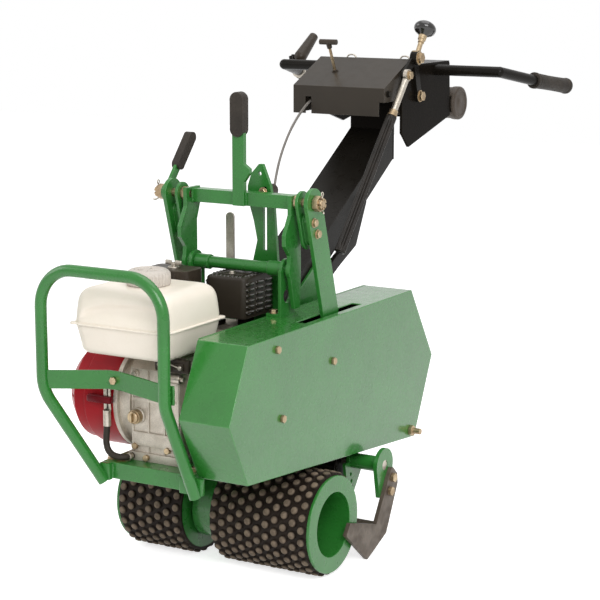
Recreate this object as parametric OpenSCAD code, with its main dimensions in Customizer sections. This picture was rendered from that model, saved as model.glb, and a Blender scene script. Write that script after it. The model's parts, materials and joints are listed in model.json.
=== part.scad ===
// Walk-behind sod cutter: two knobbed drive drums under a steel frame, a small engine at the
// front, a belt cover on the right, a swinging blade behind the drums and a handle at the rear.
// The front faces -Y, the operator stands at +Y, the belt cover is on +X and the ground is Z = 0.

/* [Drums] */
// Diameter of a drum over its tread knobs
drum_d = 196; // [188:1:204]
// Distance between the outer ends of the two drums
drum_span = 426; // [424:1:440]
// Length of the left drum
left_drum_l = 148; // [140:1:150]
// Length of the right drum
right_drum_l = 213; // [205:1:215]
// Diameter of the drive axle
axle_d = 25; // [20:1:30]
// Diameter of one tread knob
knob_d = 16; // [12:1:18]
// Height of one tread knob
knob_h = 7; // [5:0.5:8]
// Tread knobs in one ring
knobs_around = 26; // [22:2:28]
// Spacing of the knob rings along a drum
knob_pitch = 18.5; // [18.5:0.5:22]

/* [Frame] */
// Height of the deck's top above the axle
deck_rise = 132; // [130:1:150]
// Thickness of the deck plate
deck_t = 8; // [5:1:10]
// Thickness of the side plates
plate_t = 6; // [4:1:8]
// Height of the side plates above the deck's top
frame_h = 245; // [240:1:255]
// Inner width between the two side plates
frame_w = 182; // [180:1:190]
// Length of the deck in front of the axle
deck_front = 243; // [240:1:250]

/* [Belt cover] */
// Width of the belt cover across the machine
cover_w = 104; // [100:1:112]
// Length of the belt cover
cover_l = 763; // [755:1:780]
// Height of the belt cover
cover_h = 303; // [298:1:308]
// Sheet thickness of the belt cover
cover_wall = 3; // [2:0.5:4]

/* [Bumper] */
// Tube diameter of the bumper hoop
bumper_d = 22; // [18:1:24]
// Distance between the centres of the hoop's legs
bumper_w = 264; // [250:1:280]
// Height of the hoop's top above the deck
bumper_h = 357; // [330:1:380]
// Bend radius of the hoop's upper corners
bumper_bend_r = 70; // [50:1:90]
// Distance of the hoop in front of the deck's front edge
bumper_reach = 63; // [60:1:75]

/* [Engine] */
// Length of the crankcase along the machine
crankcase_l = 195; // [190:1:200]
// Width of the crankcase across the machine
crankcase_w = 106; // [102:1:110]
// Height of the crankcase above the deck
crankcase_h = 195; // [190:1:200]
// Height of the crankshaft above the deck
crank_rise = 102; // [101:1:108]
// Diameter of the crankshaft
crankshaft_d = 20; // [18:1:24]
// Radius of the red fan cover
fan_r = 98; // [92:1:100]
// Length of the fuel tank along the machine
tank_l = 188; // [176:1:190]
// Width of the fuel tank across the machine
tank_w = 202; // [190:1:206]
// Height of the fuel tank
tank_h = 116; // [105:1:125]
// Diameter of the fuel cap
cap_d = 80; // [70:1:84]
// Height of the fuel cap
cap_h = 28; // [20:1:32]
// Radius of the engine pulley
engine_pulley_r = 45; // [40:1:50]
// Radius of the driven pulley
driven_pulley_r = 112; // [100:1:114]

/* [Lift] */
// Height of the rocker's pivot tube above the side plates
rocker_rise = 87; // [85:1:95]
// Height of the lift bar's pivots above the pivot tube
lift_throw = 125; // [120:1:130]
// Tube diameter of the rocker
rocker_d = 22; // [20:1:24]
// Side of the square lift bar
lift_bar_s = 25; // [22:1:26]
// Length of the lift lever above the lift bar's pivots
lift_lever_l = 195; // [180:1:230]
// Width of a lift link
link_w = 54; // [44:1:56]

/* [Blade] */
// Height of the blade's pivot above the axle
hub_rise = 66; // [62:1:70]
// Distance of the blade's pivot behind the axle
hub_back = 194; // [192:1:198]
// Diameter of the hanger shaft
hanger_d = 20; // [18:1:22]
// Thickness of the blade
blade_t = 8; // [6:1:10]
// Gap between a drum's end and the blade's arm
blade_gap = 3; // [2:0.5:6]

/* [Handle] */
// Width of the handle column
column_w = 100; // [90:1:100]
// Depth of the handle column, measured upright
column_d = 62; // [56:1:66]
// Slope of the handle column in degrees
column_slope = 33; // [32:0.5:34]
// Width between the handle head's side plates
head_w = 208; // [200:1:216]
// Distance of the crossbar behind the axle
bar_back = 603; // [598:1:610]
// Width of the handlebar's straight crossbar
bar_w = 508; // [490:2:520]
// Diameter of the handlebar tube
bar_d = 22; // [20:1:24]
// Length of a hand grip
grip_l = 137; // [125:1:145]
// Diameter of a hand grip
grip_d = 34; // [30:1:38]

/* [Hidden] */
$fn = 64;

// Colours of the finishes
green = "#2f7d3a";
dark_green = "#256a31";
black = "#2b2724";
rubber = "#3a302a";
steel = "#a9a49b";
zinc = "#c9a35c";
red = "#b01828";
cream = "#ece5d8";
grey = "#8d8a86";

// Clearances and the overrun that every cut runs past a face
run_fit = 0.05;
slide_fit = 0.3;
overrun = 5;
weld = 2;
bend_swell = 0.2;

// Main places: u is the distance behind the axle, z is the height over the ground
drum_r = drum_d / 2;
axle_z = drum_r;
axle_at = [0, axle_z];
deck_z = axle_z + deck_rise;
frame_top = deck_z + frame_h;
drum_end = drum_span / 2;
right_in = drum_end - right_drum_l;
left_in = left_drum_l - drum_end;
frame_mid = -21;
right_x = frame_mid + frame_w / 2;
left_x = frame_mid - frame_w / 2;
cover_in = right_x + plate_t;
cover_out = cover_in + cover_w;
deck_y = -deck_front;
deck_back = 34;

crank_y = -124;
crank_at = [crank_y, deck_z + crank_rise];
jack_back = 220;
jack_rise = 100;
jack_at = [jack_back, deck_z + jack_rise];
hub_at = [hub_back, axle_z + hub_rise];
rocker_back = 20;
rocker_at = [rocker_back, frame_top + rocker_rise];
lift_back = 24;
lift_at = [lift_back, rocker_at[1] + lift_throw];

bumper_r = bumper_d / 2;
bumper_y = deck_y - bumper_reach;
bar_r = bar_d / 2;
grip_r = grip_d / 2;

// Helpers: 2D u runs along Y and 2D v along Z in along_x, and along X and Z in along_y
module along_x(x0, x1) {
  translate([x0, 0, 0])
    rotate([90, 0, 90])
      linear_extrude(height = x1 - x0)
        children();
}

module along_y(y0, y1) {
  translate([0, y1, 0])
    rotate([90, 0, 0])
      linear_extrude(height = y1 - y0)
        children();
}

module block(lo, hi) {
  translate(lo)
    cube(hi - lo);
}

module rod_x(r, x0, x1, at) {
  translate([x0, at[0], at[1]])
    rotate([0, 90, 0])
      cylinder(r = r, h = x1 - x0);
}

module rod_y(r, y0, y1, at) {
  translate([at[0], y1, at[1]])
    rotate([90, 0, 0])
      cylinder(r = r, h = y1 - y0);
}

module rod(p, q, r, r_end = undef) {
  d = q - p;
  translate(p)
    rotate([0, acos(d[2] / norm(d)), atan2(d[1], d[0])])
      cylinder(r1 = r, r2 = is_undef(r_end) ? r : r_end, h = norm(d));
}

module hex_x(across, x0, x1, at) {
  translate([x0, at[0], at[1]])
    rotate([0, 90, 0])
      cylinder(d = across / cos(30), h = x1 - x0, $fn = 6);
}

module spot(at, r) {
  translate(at)
    circle(r = r);
}

module bar_2d(p, q, r) {
  d = q - p;
  spot(p, r + bend_swell);
  spot(q, r + bend_swell);
  translate(p)
    rotate(atan2(d[1], d[0]))
      translate([0, -r])
        square([norm(d), 2 * r]);
}

module round_rect(lo, hi, r) {
  translate(lo + [r, 0])
    square(hi - lo - [2 * r, 0]);
  translate(lo + [0, r])
    square(hi - lo - [0, 2 * r]);
  for (x = [lo[0] + r, hi[0] - r])
    for (y = [lo[1] + r, hi[1] - r])
      spot([x, y], r);
}

module ring_2d(r0, r1, x0, x1) {
  translate([r0, x0])
    square([r1 - r0, x1 - x0]);
}

module turned_x(at) {
  translate([0, at[0], at[1]])
    rotate([0, 90, 0])
      rotate_extrude()
        children();
}

module both_sides() {
  children();
  mirror([1, 0, 0])
    children();
}

function spread(shares, at, size) = [for (s = shares) [at[0] + s[0] * size[0], at[1] + s[1] * size[1]]];

function unit(v) = v / norm(v);

// Counter-clockwise outline with each edge moved inward by its own distance
function inset(points, depths) = [
  for (i = [0 : len(points) - 1])
    let (
      n = len(points),
      a = points[(i + n - 1) % n],
      b = points[i],
      c = points[(i + 1) % n],
      u = unit(b - a),
      v = unit(c - b),
      nu = [-u[1], u[0]],
      nv = [-v[1], v[0]],
      d0 = depths[(i + n - 1) % n],
      d1 = depths[i]
    )
      b + nu * d0 + u * (d1 - d0 * (nu * nv)) / (u * nv)
];

// Outline round two discs: the straight runs touch both
loop_steps = 36;

function arc_points(at, r, from, to) = [
  for (i = [0 : loop_steps])
    let (turn = from + (to - from) * i / loop_steps)
      at + r * [cos(turn), sin(turn)]
];

function loop_points(p, q, r0, r1) =
  let (
    d = q - p,
    turn = atan2(d[1], d[0]),
    lean = acos((r0 - r1) / norm(d))
  )
    concat(arc_points(p, r0, turn + lean, turn + 360 - lean), arc_points(q, r1, turn - lean, turn + lean));

// Round tube swept along a route of points, with its first ring square to the route
tube_sides = 10;

function route_dir(route, i) =
  i == 0 ? unit(route[1] - route[0]) :
  i == len(route) - 1 ? unit(route[i] - route[i - 1]) :
  unit(unit(route[i + 1] - route[i]) + unit(route[i] - route[i - 1]));

function tube_ring(at, dir, r, side) = [
  let (u = unit(cross(dir, side)), v = cross(dir, u))
    for (k = [0 : tube_sides - 1])
      at + r * (cos(360 * k / tube_sides) * u + sin(360 * k / tube_sides) * v)
];

function smooth_route(route, steps) = [
  for (i = [0 : len(route) - 2])
    for (k = [0 : steps - 1])
      let (
        a = route[max(i - 1, 0)],
        b = route[i],
        c = route[i + 1],
        d = route[min(i + 2, len(route) - 1)],
        t = k / steps
      )
        ((2 * b) + (c - a) * t + (2 * a - 5 * b + 4 * c - d) * t * t
          + (3 * b - a - 3 * c + d) * t * t * t) / 2,
  route[len(route) - 1]
];

module swept_tube(route, r, side) {
  n = len(route);
  points = [for (i = [0 : n - 1]) each tube_ring(route[i], route_dir(route, i), r, side)];
  sides = [
    for (i = [0 : n - 2])
      for (k = [0 : tube_sides - 1])
        let (
          a = i * tube_sides + k,
          b = i * tube_sides + (k + 1) % tube_sides
        )
          each [[a, b, b + tube_sides], [a, b + tube_sides, a + tube_sides]]
  ];
  first = [for (k = [1 : tube_sides - 2]) [0, k + 1, k]];
  last = [for (k = [1 : tube_sides - 2]) (n - 1) * tube_sides * [1, 1, 1] + [0, k, k + 1]];
  polyhedron(points = points, faces = concat(sides, first, last));
}

// Handlebar: the crossbar, two bent arms and the grips set the machine's length
bar_rise = 663;
bar_z = deck_z + bar_rise;
arm_bend = [bar_w / 2, bar_back, bar_z];
arm_run = [26, 110, -22];
grip_run = [20, 135, -20];
grip_start = arm_bend + arm_run;
grip_dir = unit(grip_run);
grip_end = grip_start + grip_dir * grip_l;
back_y = grip_end[1] + grip_r * sqrt(1 - grip_dir[1] * grip_dir[1]);
front_y = bumper_y - bumper_r - bend_swell;
mid_y = (front_y + back_y) / 2;

module placed() {
  translate([0, -mid_y, 0])
    children();
}

// Engine deck: a flat plate with a lip along its front edge
lip_h = 30;
lip_t = 5;
deck_wing = 18;
deck_wing_y = -45;

module engine_deck() {
  color(green)
    placed() {
      block([left_x, deck_y, deck_z - deck_t], [right_x, deck_back, deck_z]);
      block([left_x - deck_wing, deck_y, deck_z - deck_t], [left_x + weld, deck_wing_y, deck_z]);
      block([left_x - deck_wing, deck_y, deck_z - lip_h], [right_x, deck_y + lip_t, deck_z]);
    }
}

// Outline shared by the belt cover and the side plate behind it
cover_front = -300;
cover_at = [cover_front, frame_top - cover_h];
cover_outline_shares = [[0.08, 1], [0, 0.571], [0.077, 0.185], [0.903, 0], [1, 0.512], [0.877, 1]];
cover_outline = spread(cover_outline_shares, cover_at, [cover_l, cover_h]);
hub_lobe_r = 40;
hanger_r = hanger_d / 2;
crankshaft_r = crankshaft_d / 2;
jackshaft_r = 10;
crank_hole_r = 26;
idler_pivot_y = -30;
idler_pivot_rise = 20;
idler_pivot_at = [idler_pivot_y, crank_at[1] + idler_pivot_rise];
idler_stud_r = 6;
idler_arm_gap = 22;
idler_arm_x = cover_in + idler_arm_gap;
idler_arm_t = 6;
lobe_neck_w = 64;
lobe_neck_h = 60;
plate_front_in = 12;
plate_outline = inset(cover_outline, [plate_front_in, plate_front_in, 0, 0, 0, 0]);

module right_side_plate() {
  color(green)
    placed() {
      difference() {
        along_x(right_x, cover_in) {
          polygon(plate_outline);
          spot(hub_at, hub_lobe_r);
          translate(hub_at - [lobe_neck_w / 2, 0])
            square([lobe_neck_w, jack_at[1] - hub_at[1]]);
        }
        rod_x(hanger_r + run_fit, right_x - overrun, cover_in + overrun, hub_at);
        rod_x(jackshaft_r + run_fit, right_x - overrun, cover_in + overrun, jack_at);
        rod_x(crank_hole_r, right_x - overrun, cover_in + overrun, crank_at);
      }
      rod_x(idler_stud_r, cover_in - weld, idler_arm_x + idler_arm_t + weld, idler_pivot_at);
    }
}

// Left side plate with a lobe for the hanger shaft and the gear lever's bracket
left_plate_front = -18;
left_plate_drop = 15;
left_plate_at = [left_plate_front, deck_z - left_plate_drop];
left_plate_l = 348;
left_plate_shares = [[0, 0], [0.28, 0], [0.51, -0.12], [0.72, -0.12], [1, 0.33], [1, 0.79], [0.89, 1], [0, 1]];
gear_in = 27;
gear_x = left_x + gear_in;
gear_y = 117;
gear_t = 4;
gear_pin_r = 5;
gear_pin_rise = 25;
gear_pin_z = frame_top + gear_pin_rise;
gear_tab_t = 6;
gear_tab_w = 38;
gear_tab_h = 75;
gear_tab_over = 12;

module left_side_plate() {
  color(green)
    placed() {
      difference() {
        along_x(left_x - plate_t, left_x) {
          polygon(spread(left_plate_shares, left_plate_at, [left_plate_l, frame_top - left_plate_at[1]]));
          spot(hub_at, hub_lobe_r);
          translate(hub_at - [lobe_neck_w / 2, 0])
            square([lobe_neck_w, lobe_neck_h]);
        }
        rod_x(hanger_r + run_fit, left_x - plate_t - overrun, left_x + overrun, hub_at);
      }
      block(
        [left_x - weld, gear_y + gear_t + slide_fit, gear_pin_z + gear_tab_over - gear_tab_h],
        [left_x + gear_tab_w, gear_y + gear_t + slide_fit + gear_tab_t, gear_pin_z + gear_tab_over]
      );
      rod_y(gear_pin_r, gear_y - gear_t, gear_y + gear_t + slide_fit + weld, [gear_x, gear_pin_z]);
    }
}

// Column: a box tube that slopes up to the handle head
column_front = 82;
column_back = 530;
column_wall = 4;
column_rise = tan(column_slope);
column_foot_rise = 7;
column_foot_z = frame_top + column_foot_rise;
function column_top(y) = column_foot_z + (y - column_front) * column_rise;
function column_under(y) = column_top(y) - column_d;
column_outline = [
  [column_front, column_under(column_front)],
  [column_back, column_under(column_back)],
  [column_back, column_top(column_back)],
  [column_front, column_top(column_front)]
];
strap_t = 8;
strap_r = 12;
strap_run_shares = [[1, 1], [0.71, 0.38], [0.24, 0.14], [0, 0]];
strap_front = 258;
strap_drop = 16;
strap_at = [strap_front, column_under(strap_front) - strap_drop];
strap_size = [134, 122];
strap_run = spread(strap_run_shares, strap_at, strap_size);

module handle_column() {
  color(black)
    placed() {
      difference() {
        along_x(-column_w / 2, column_w / 2)
          polygon(column_outline);
        along_x(column_wall - column_w / 2, column_w / 2 - column_wall)
          polygon(inset(column_outline, [column_wall, -overrun, column_wall, -overrun]));
      }
      along_x(column_w / 2 - weld, column_w / 2 + strap_t)
        for (i = [0 : len(strap_run) - 2])
          bar_2d(strap_run[i], strap_run[i + 1], strap_r);
    }
}

// Column seat: a cross plate between the side plates and two cheeks that hold the column
seat_t = 8;
seat_drop = 79;
seat_z = frame_top - seat_drop;
seat_front = 95;
seat_back = 240;
cheek_over = 40;

module column_seat() {
  color(green)
    placed() {
      block([left_x, seat_front, seat_z], [right_x, seat_back, seat_z + seat_t]);
      both_sides()
        along_x(column_w / 2, column_w / 2 + plate_t)
          polygon([
            [seat_front, seat_z + seat_t - weld],
            [seat_back, seat_z + seat_t - weld],
            [seat_back, column_under(seat_back) + cheek_over],
            [seat_front, column_under(seat_front) + cheek_over]
          ]);
    }
}

// Brackets that carry the rocker's pivot tube above the side plates
rocker_r = rocker_d / 2;
bracket_x = 96;
bracket_t = 6;
bracket_w = 49;
bracket_hole_r = 13;
bracket_hole_up = 38;
bracket_reach = 23;
bracket_lo = [rocker_at[0] - bracket_reach, frame_top];
bracket_head_r = 20;

module tube_bracket(foot_x0, foot_x1) {
  difference() {
    union() {
      along_x(bracket_x, bracket_x + bracket_t) {
        translate(bracket_lo)
          square([bracket_w, rocker_at[1] - frame_top]);
        spot(rocker_at, bracket_head_r);
      }
      block(
        [foot_x0, bracket_lo[0], frame_top],
        [foot_x1, bracket_lo[0] + bracket_w, frame_top + bracket_t]
      );
    }
    rod_x(rocker_r + run_fit, bracket_x - overrun, bracket_x + bracket_t + overrun, rocker_at);
    rod_x(bracket_hole_r, bracket_x - overrun, bracket_x + bracket_t + overrun,
      [rocker_at[0], frame_top + bracket_hole_up]);
  }
}

module tube_brackets() {
  color(green)
    placed() {
      tube_bracket(right_x, bracket_x + weld);
      mirror([1, 0, 0])
        tube_bracket(bracket_x + bracket_t - weld, plate_t - left_x);
    }
}

// Quadrant plate on the column's front end, with a slot for the latch knob
quadrant_t = 8;
quadrant_left = -20;
quadrant_drop = 30;
quadrant_at = [quadrant_left, frame_top - quadrant_drop];
quadrant_size = [82, 300];
quadrant_shares = [
  [0, 0], [1, 0], [0.85, 0.33], [0.8, 0.52], [0.74, 0.74], [0.64, 0.87], [0.44, 1], [0.34, 1],
  [0.14, 0.94], [0.04, 0.86], [0.04, 0.78], [0.2, 0.64], [0.29, 0.52], [0.12, 0.33]
];
quadrant_back = column_front;
quadrant_front = quadrant_back - quadrant_t;
latch_x = quadrant_at[0] + quadrant_size[0] / 2;
latch_slot_w = 8;
latch_slot_h = 120;
latch_slot_rise = 108;
latch_slot_z = frame_top + latch_slot_rise;
latch_rise = 111;
latch_z = latch_slot_z + latch_rise;
latch_hole_r = 4;
latch_hole_shares = [[0.36, 0.94]];

module quadrant_plate() {
  color(green)
    placed()
      along_y(quadrant_front, quadrant_back)
        difference() {
          polygon(spread(quadrant_shares, quadrant_at, quadrant_size));
          translate([latch_x - latch_slot_w / 2, latch_slot_z])
            square([latch_slot_w, latch_slot_h]);
          for (at = spread(latch_hole_shares, quadrant_at, quadrant_size))
            spot(at, latch_hole_r);
        }
}

latch_knob_r = 12;
latch_knob_l = 22;
latch_stem_r = latch_slot_w / 2 - slide_fit;
latch_nut_r = 7;
latch_nut_t = 6;

module latch_knob() {
  color(black)
    placed() {
      rod_y(latch_knob_r, quadrant_back + slide_fit, quadrant_back + latch_knob_l, [latch_x, latch_z]);
      rod_y(latch_stem_r, quadrant_front - latch_nut_t, quadrant_back + weld, [latch_x, latch_z]);
      rod_y(latch_nut_r, quadrant_front - latch_nut_t, quadrant_front - slide_fit, [latch_x, latch_z]);
    }
}

// Belt cover: folded sheet, open below and against the side plate, with a slot for the right link
link_inset = 30;
link_x = cover_out - link_inset;
link_t = 8;
cover_slot_w = 20;
cover_slot_front = -20;
cover_slot_back = 190;

module belt_cover() {
  color(green)
    placed()
      difference() {
        along_x(cover_in, cover_out)
          polygon(cover_outline);
        along_x(cover_in - overrun, cover_out - cover_wall)
          polygon(inset(cover_outline, [cover_wall, cover_wall, -overrun, cover_wall, cover_wall, cover_wall]));
        block(
          [link_x + link_t / 2 - cover_slot_w / 2, cover_slot_front, frame_top - overrun],
          [link_x + link_t / 2 + cover_slot_w / 2, cover_slot_back, frame_top + overrun]
        );
      }
}

// Bumper hoop: one bent tube with a cross strap behind its legs
bumper_mid = -80;
leg_left = bumper_mid - bumper_w / 2;
leg_right = bumper_mid + bumper_w / 2;
leg_bend_rise = 134;
leg_bend_z = deck_z + leg_bend_rise;
bumper_top = deck_z + bumper_h;
foot_gap = 0.8;
foot_y = deck_y - bumper_r - foot_gap;
foot_drop = 34;
foot_z = deck_z - foot_drop;
foot_out = 6;
foot_left = left_x - foot_out;
foot_in = 15;
foot_right = right_x - foot_in;
cross_t = 5;
cross_h = 34;
cross_rise = 4;
cross_z = leg_bend_z + cross_rise;
cross_bolt_left = 14;
cross_bolt_x = bumper_mid - cross_bolt_left;
cross_back = 56;
cross_flat = 12;

module hoop_corner(x, turn) {
  translate([x, bumper_y, bumper_top - bumper_bend_r])
    rotate([90, 0, 0])
      rotate([0, 0, turn])
        rotate_extrude(angle = 90)
          translate([bumper_bend_r, 0])
            circle(r = bumper_r);
}

module hoop_leg(foot_x, x) {
  rod([foot_x, foot_y, foot_z], [x, bumper_y, leg_bend_z], bumper_r);
  translate([x, bumper_y, leg_bend_z])
    sphere(r = bumper_r + bend_swell);
  rod([x, bumper_y, leg_bend_z], [x, bumper_y, bumper_top - bumper_bend_r], bumper_r);
}

module hoop_path() {
  hoop_leg(foot_left, leg_left);
  hoop_leg(foot_right, leg_right);
  hoop_corner(leg_right - bumper_bend_r, 0);
  hoop_corner(leg_left + bumper_bend_r, 90);
  rod_x(bumper_r, leg_left + bumper_bend_r, leg_right - bumper_bend_r, [bumper_y, bumper_top]);
}

module cross_strap() {
  near = bumper_y + bumper_r + cross_t / 2 - weld / 2;
  far = bumper_y + cross_back;
  line = [
    [leg_left + bumper_r - weld, near - bumper_r],
    [cross_bolt_x - cross_flat, far],
    [cross_bolt_x + cross_flat, far],
    [leg_right - bumper_r, near],
    [leg_right + bumper_r, near]
  ];
  n = len(line);
  translate([0, 0, cross_z])
    linear_extrude(height = cross_h)
      polygon(concat(
        [for (p = line) p - [0, cross_t / 2]],
        [for (i = [1 : n]) line[n - i] + [0, cross_t / 2]]
      ));
}

module bumper_hoop() {
  color(green)
    placed() {
      hoop_path();
      for (x = [foot_left, foot_right])
        block([x - bumper_r, foot_y, deck_z - lip_h], [x + bumper_r, deck_y, deck_z]);
      cross_strap();
    }
}

// Zinc bolts on the cover, the tensioner stud with its nuts and the strap's bolt
bolt_across = 13;
bolt_head_t = 6;
nut_across = 19;
nut_t = 8;
stud_r = 6;
stud_l = 24;
stud_shares = [0.876, 0.055];
cover_bolt_shares = [[0.203, 0.921], [0.463, 0.728], [0.225, 0.499]];

module frame_bolts() {
  stud_at = cover_at + [stud_shares[0] * cover_l, stud_shares[1] * cover_h];
  color(zinc)
    placed() {
      for (at = spread(cover_bolt_shares, cover_at, [cover_l, cover_h]))
        hex_x(bolt_across, cover_out, cover_out + bolt_head_t, at);
      rod_x(stud_r, cover_out, cover_out + stud_l, stud_at);
      hex_x(nut_across, cover_out, cover_out + nut_t, stud_at);
      translate([cross_bolt_x, bumper_y + cross_back - cross_t / 2, cross_z + cross_h / 2])
        rotate([90, 0, 0])
          cylinder(d = bolt_across / cos(30), h = bolt_head_t, $fn = 6);
    }
}

// Chain case between the drums: slants from the axle up to the jackshaft, open on its left side
case_gap = 6;
case_wall = 4;
case_low_r = 62;
case_high_r = 46;
case_x0 = left_in + case_gap;
case_x1 = right_in - case_gap;
case_neck_w = 48;
axle_r = axle_d / 2;
case_boss_r = 22;
case_boss_l = 10;

module chain_case() {
  color(dark_green)
    placed()
      difference() {
        union() {
          difference() {
            along_x(case_x0, case_x1) {
              polygon(loop_points(axle_at, jack_at, case_low_r, case_high_r));
              translate(jack_at - [case_neck_w / 2, 0])
                square([case_neck_w, seat_z - jack_at[1]]);
            }
            along_x(case_x0 - overrun, case_x1 - case_wall)
              polygon(loop_points(axle_at, jack_at, case_low_r - case_wall, case_high_r - case_wall));
          }
          rod_x(case_boss_r, case_x1 - case_wall - case_boss_l, case_x1, axle_at);
          rod_x(case_boss_r, case_x1 - case_wall - case_boss_l, case_x1, jack_at);
        }
        rod_x(axle_r + run_fit, case_x0 - overrun, case_x1 + overrun, axle_at);
        rod_x(jackshaft_r + run_fit, case_x0 - overrun, case_x1 + overrun, jack_at);
      }
}

// Chain and sprockets inside the case
sprocket_t = 6;
sprocket_in = 14;
sprocket_x = case_x0 + sprocket_in;
chain_w = 12;
chain_t = 9;
axle_sprocket_r = 44;
jack_sprocket_r = 24;
tooth_h = 4;
tooth_form_shares = [[0, -0.3], [0, 0.3], [1, 0.4], [1, 0.6]];
axle_teeth = 22;
jack_teeth = 12;
chain_clear = 0.5;

module sprocket_2d(r, teeth) {
  polygon([
    for (i = [0 : teeth - 1])
      for (s = tooth_form_shares)
        (r - tooth_h * (1 - s[0])) * [cos(360 * (i + s[1]) / teeth), sin(360 * (i + s[1]) / teeth)]
  ]);
}

module sprocket(r, teeth, at) {
  along_x(sprocket_x, sprocket_x + sprocket_t)
    translate(at)
      sprocket_2d(r, teeth);
}

module drive_chain() {
  mid = sprocket_x + sprocket_t / 2;
  low = axle_sprocket_r + chain_clear;
  high = jack_sprocket_r + chain_clear;
  color(steel)
    placed()
      difference() {
        along_x(mid - chain_w / 2, mid + chain_w / 2)
          polygon(loop_points(axle_at, jack_at, low + chain_t, high + chain_t));
        along_x(mid - chain_w / 2 - overrun, mid + chain_w / 2 + overrun)
          polygon(loop_points(axle_at, jack_at, low, high));
      }
}

// Drums: a tube with a deep pocket in its outer end, a web on the axle and a knobbed rubber tread
rim_t = 6;
drum_wall = 4;
rubber_t = 3;
tread_r = drum_r - knob_h;
tube_r = tread_r - rubber_t;
pocket_r = 60.5;
pocket_l = 100;
web_t = 8;
web_x = drum_end - pocket_l - web_t;
drum_hub_r = 28;
drum_hub_l = 26;
inner_rim_r = 40;
tread_step = 0.1;

module drum(inner_x) {
  turned_x(axle_at) {
    ring_2d(tube_r - drum_wall, tube_r, inner_x, drum_end);
    ring_2d(pocket_r, tread_r, drum_end - rim_t, drum_end);
    ring_2d(pocket_r, pocket_r + drum_wall, web_x, drum_end);
    ring_2d(axle_r + run_fit, tube_r - weld, web_x, web_x + web_t);
    ring_2d(axle_r + run_fit, drum_hub_r, web_x + web_t - drum_hub_l, web_x + web_t);
    ring_2d(inner_rim_r, tube_r - weld, inner_x, inner_x + rim_t);
  }
}

module right_drum() {
  color(green)
    placed()
      drum(right_in);
}

module left_drum() {
  color(green)
    placed()
      mirror([1, 0, 0])
        drum(-left_in);
}

module knob_ring(l) {
  half = 180 / knobs_around;
  translate([0, 0, -l / 2])
    linear_extrude(height = l)
      polygon([
        for (i = [0 : knobs_around - 1])
          tread_r / cos(half) * [cos(half * (2 * i + 1)), sin(half * (2 * i + 1))]
      ]);
  for (i = [0 : knobs_around - 1])
    rotate(2 * half * i)
      translate([tread_r - weld / 2, 0, 0])
        rotate([0, 90, 0])
          cylinder(d = knob_d, h = knob_h + weld / 2);
}

module tread(inner_x) {
  l = drum_end - rim_t - inner_x;
  rings = floor(l / knob_pitch);
  ring_l = tread_step * floor(l / rings / tread_step);
  translate([0, axle_at[0], axle_at[1]])
    rotate([0, 90, 0])
      difference() {
        for (k = [0 : rings - 1])
          translate([0, 0, inner_x + (k + 1 / 2) * ring_l])
            rotate(k % 2 * 180 / knobs_around)
              knob_ring(ring_l);
        translate([0, 0, inner_x - overrun])
          cylinder(r = tube_r, h = l + 2 * overrun);
      }
}

module drum_treads() {
  color(rubber)
    placed() {
      tread(right_in);
      mirror([1, 0, 0])
        tread(-left_in);
    }
}

module wheel_axle() {
  color(steel)
    placed() {
      rod_x(axle_r, -web_x - web_t, web_x + web_t, axle_at);
      sprocket(axle_sprocket_r, axle_teeth, axle_at);
    }
}

// Crankshaft, jackshaft, pulleys and belt behind the cover
pulley_gap = 34;
pulley_x = cover_in + pulley_gap;
pulley_w = 22;
groove_w = 15;
groove_d = 9;
belt_clear = 0.5;
belt_w = groove_w - 2 * belt_clear;
belt_t = 8;
pulley_bore_fit = run_fit;
crankshaft_in = -160;

module pulley(r, bore_r, at) {
  groove_x = pulley_x + (pulley_w - groove_w) / 2;
  turned_x(at) {
    ring_2d(bore_r + pulley_bore_fit, r - groove_d, pulley_x, pulley_x + pulley_w);
    ring_2d(bore_r + pulley_bore_fit, r, pulley_x, groove_x);
    ring_2d(bore_r + pulley_bore_fit, r, groove_x + groove_w, pulley_x + pulley_w);
  }
}

module crankshaft() {
  color(steel)
    placed()
      rod_x(crankshaft_r, crankshaft_in, pulley_x + pulley_w, crank_at);
}

module engine_pulley() {
  color(grey)
    placed()
      pulley(engine_pulley_r, crankshaft_r, crank_at);
}

module jackshaft() {
  color(steel)
    placed() {
      rod_x(jackshaft_r, sprocket_x - sprocket_t, pulley_x + pulley_w, jack_at);
      sprocket(jack_sprocket_r, jack_teeth, jack_at);
    }
}

module driven_pulley() {
  color(grey)
    placed()
      pulley(driven_pulley_r, jackshaft_r, jack_at);
}

module drive_belt() {
  low = engine_pulley_r - groove_d + belt_clear;
  high = driven_pulley_r - groove_d + belt_clear;
  x0 = pulley_x + (pulley_w - belt_w) / 2;
  color(black)
    placed()
      difference() {
        along_x(x0, x0 + belt_w)
          polygon(loop_points(crank_at, jack_at, low + belt_t, high + belt_t));
        along_x(x0 - overrun, x0 + belt_w + overrun)
          polygon(loop_points(crank_at, jack_at, low, high));
      }
}

// Idler: an arm on a stud of the side plate with a flat pulley inside the belt
idler_run = [80, 10];
idler_at = idler_pivot_at + idler_run;
idler_r = 28;
idler_hub_r = 14;
idler_pin_r = 6;

module idler_arm() {
  color(grey)
    placed() {
      difference() {
        along_x(idler_arm_x, idler_arm_x + idler_arm_t)
          bar_2d(idler_pivot_at, idler_at, idler_hub_r);
        rod_x(idler_stud_r + run_fit, idler_arm_x - overrun, idler_arm_x + idler_arm_t + overrun, idler_pivot_at);
      }
      rod_x(idler_pin_r, idler_arm_x + idler_arm_t - weld, pulley_x + pulley_w, idler_at);
    }
}

module idler_pulley() {
  color(steel)
    placed()
      turned_x(idler_at)
        ring_2d(idler_pin_r + run_fit, idler_r, pulley_x, pulley_x + pulley_w);
}

// Hanger shaft across the frame and the eccentric case on it
hanger_over = 2;
hanger_end = drum_end + hanger_over;
eccentric_r = 45;
eccentric_w = 50;
eccentric_off = [6, -24];

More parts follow.
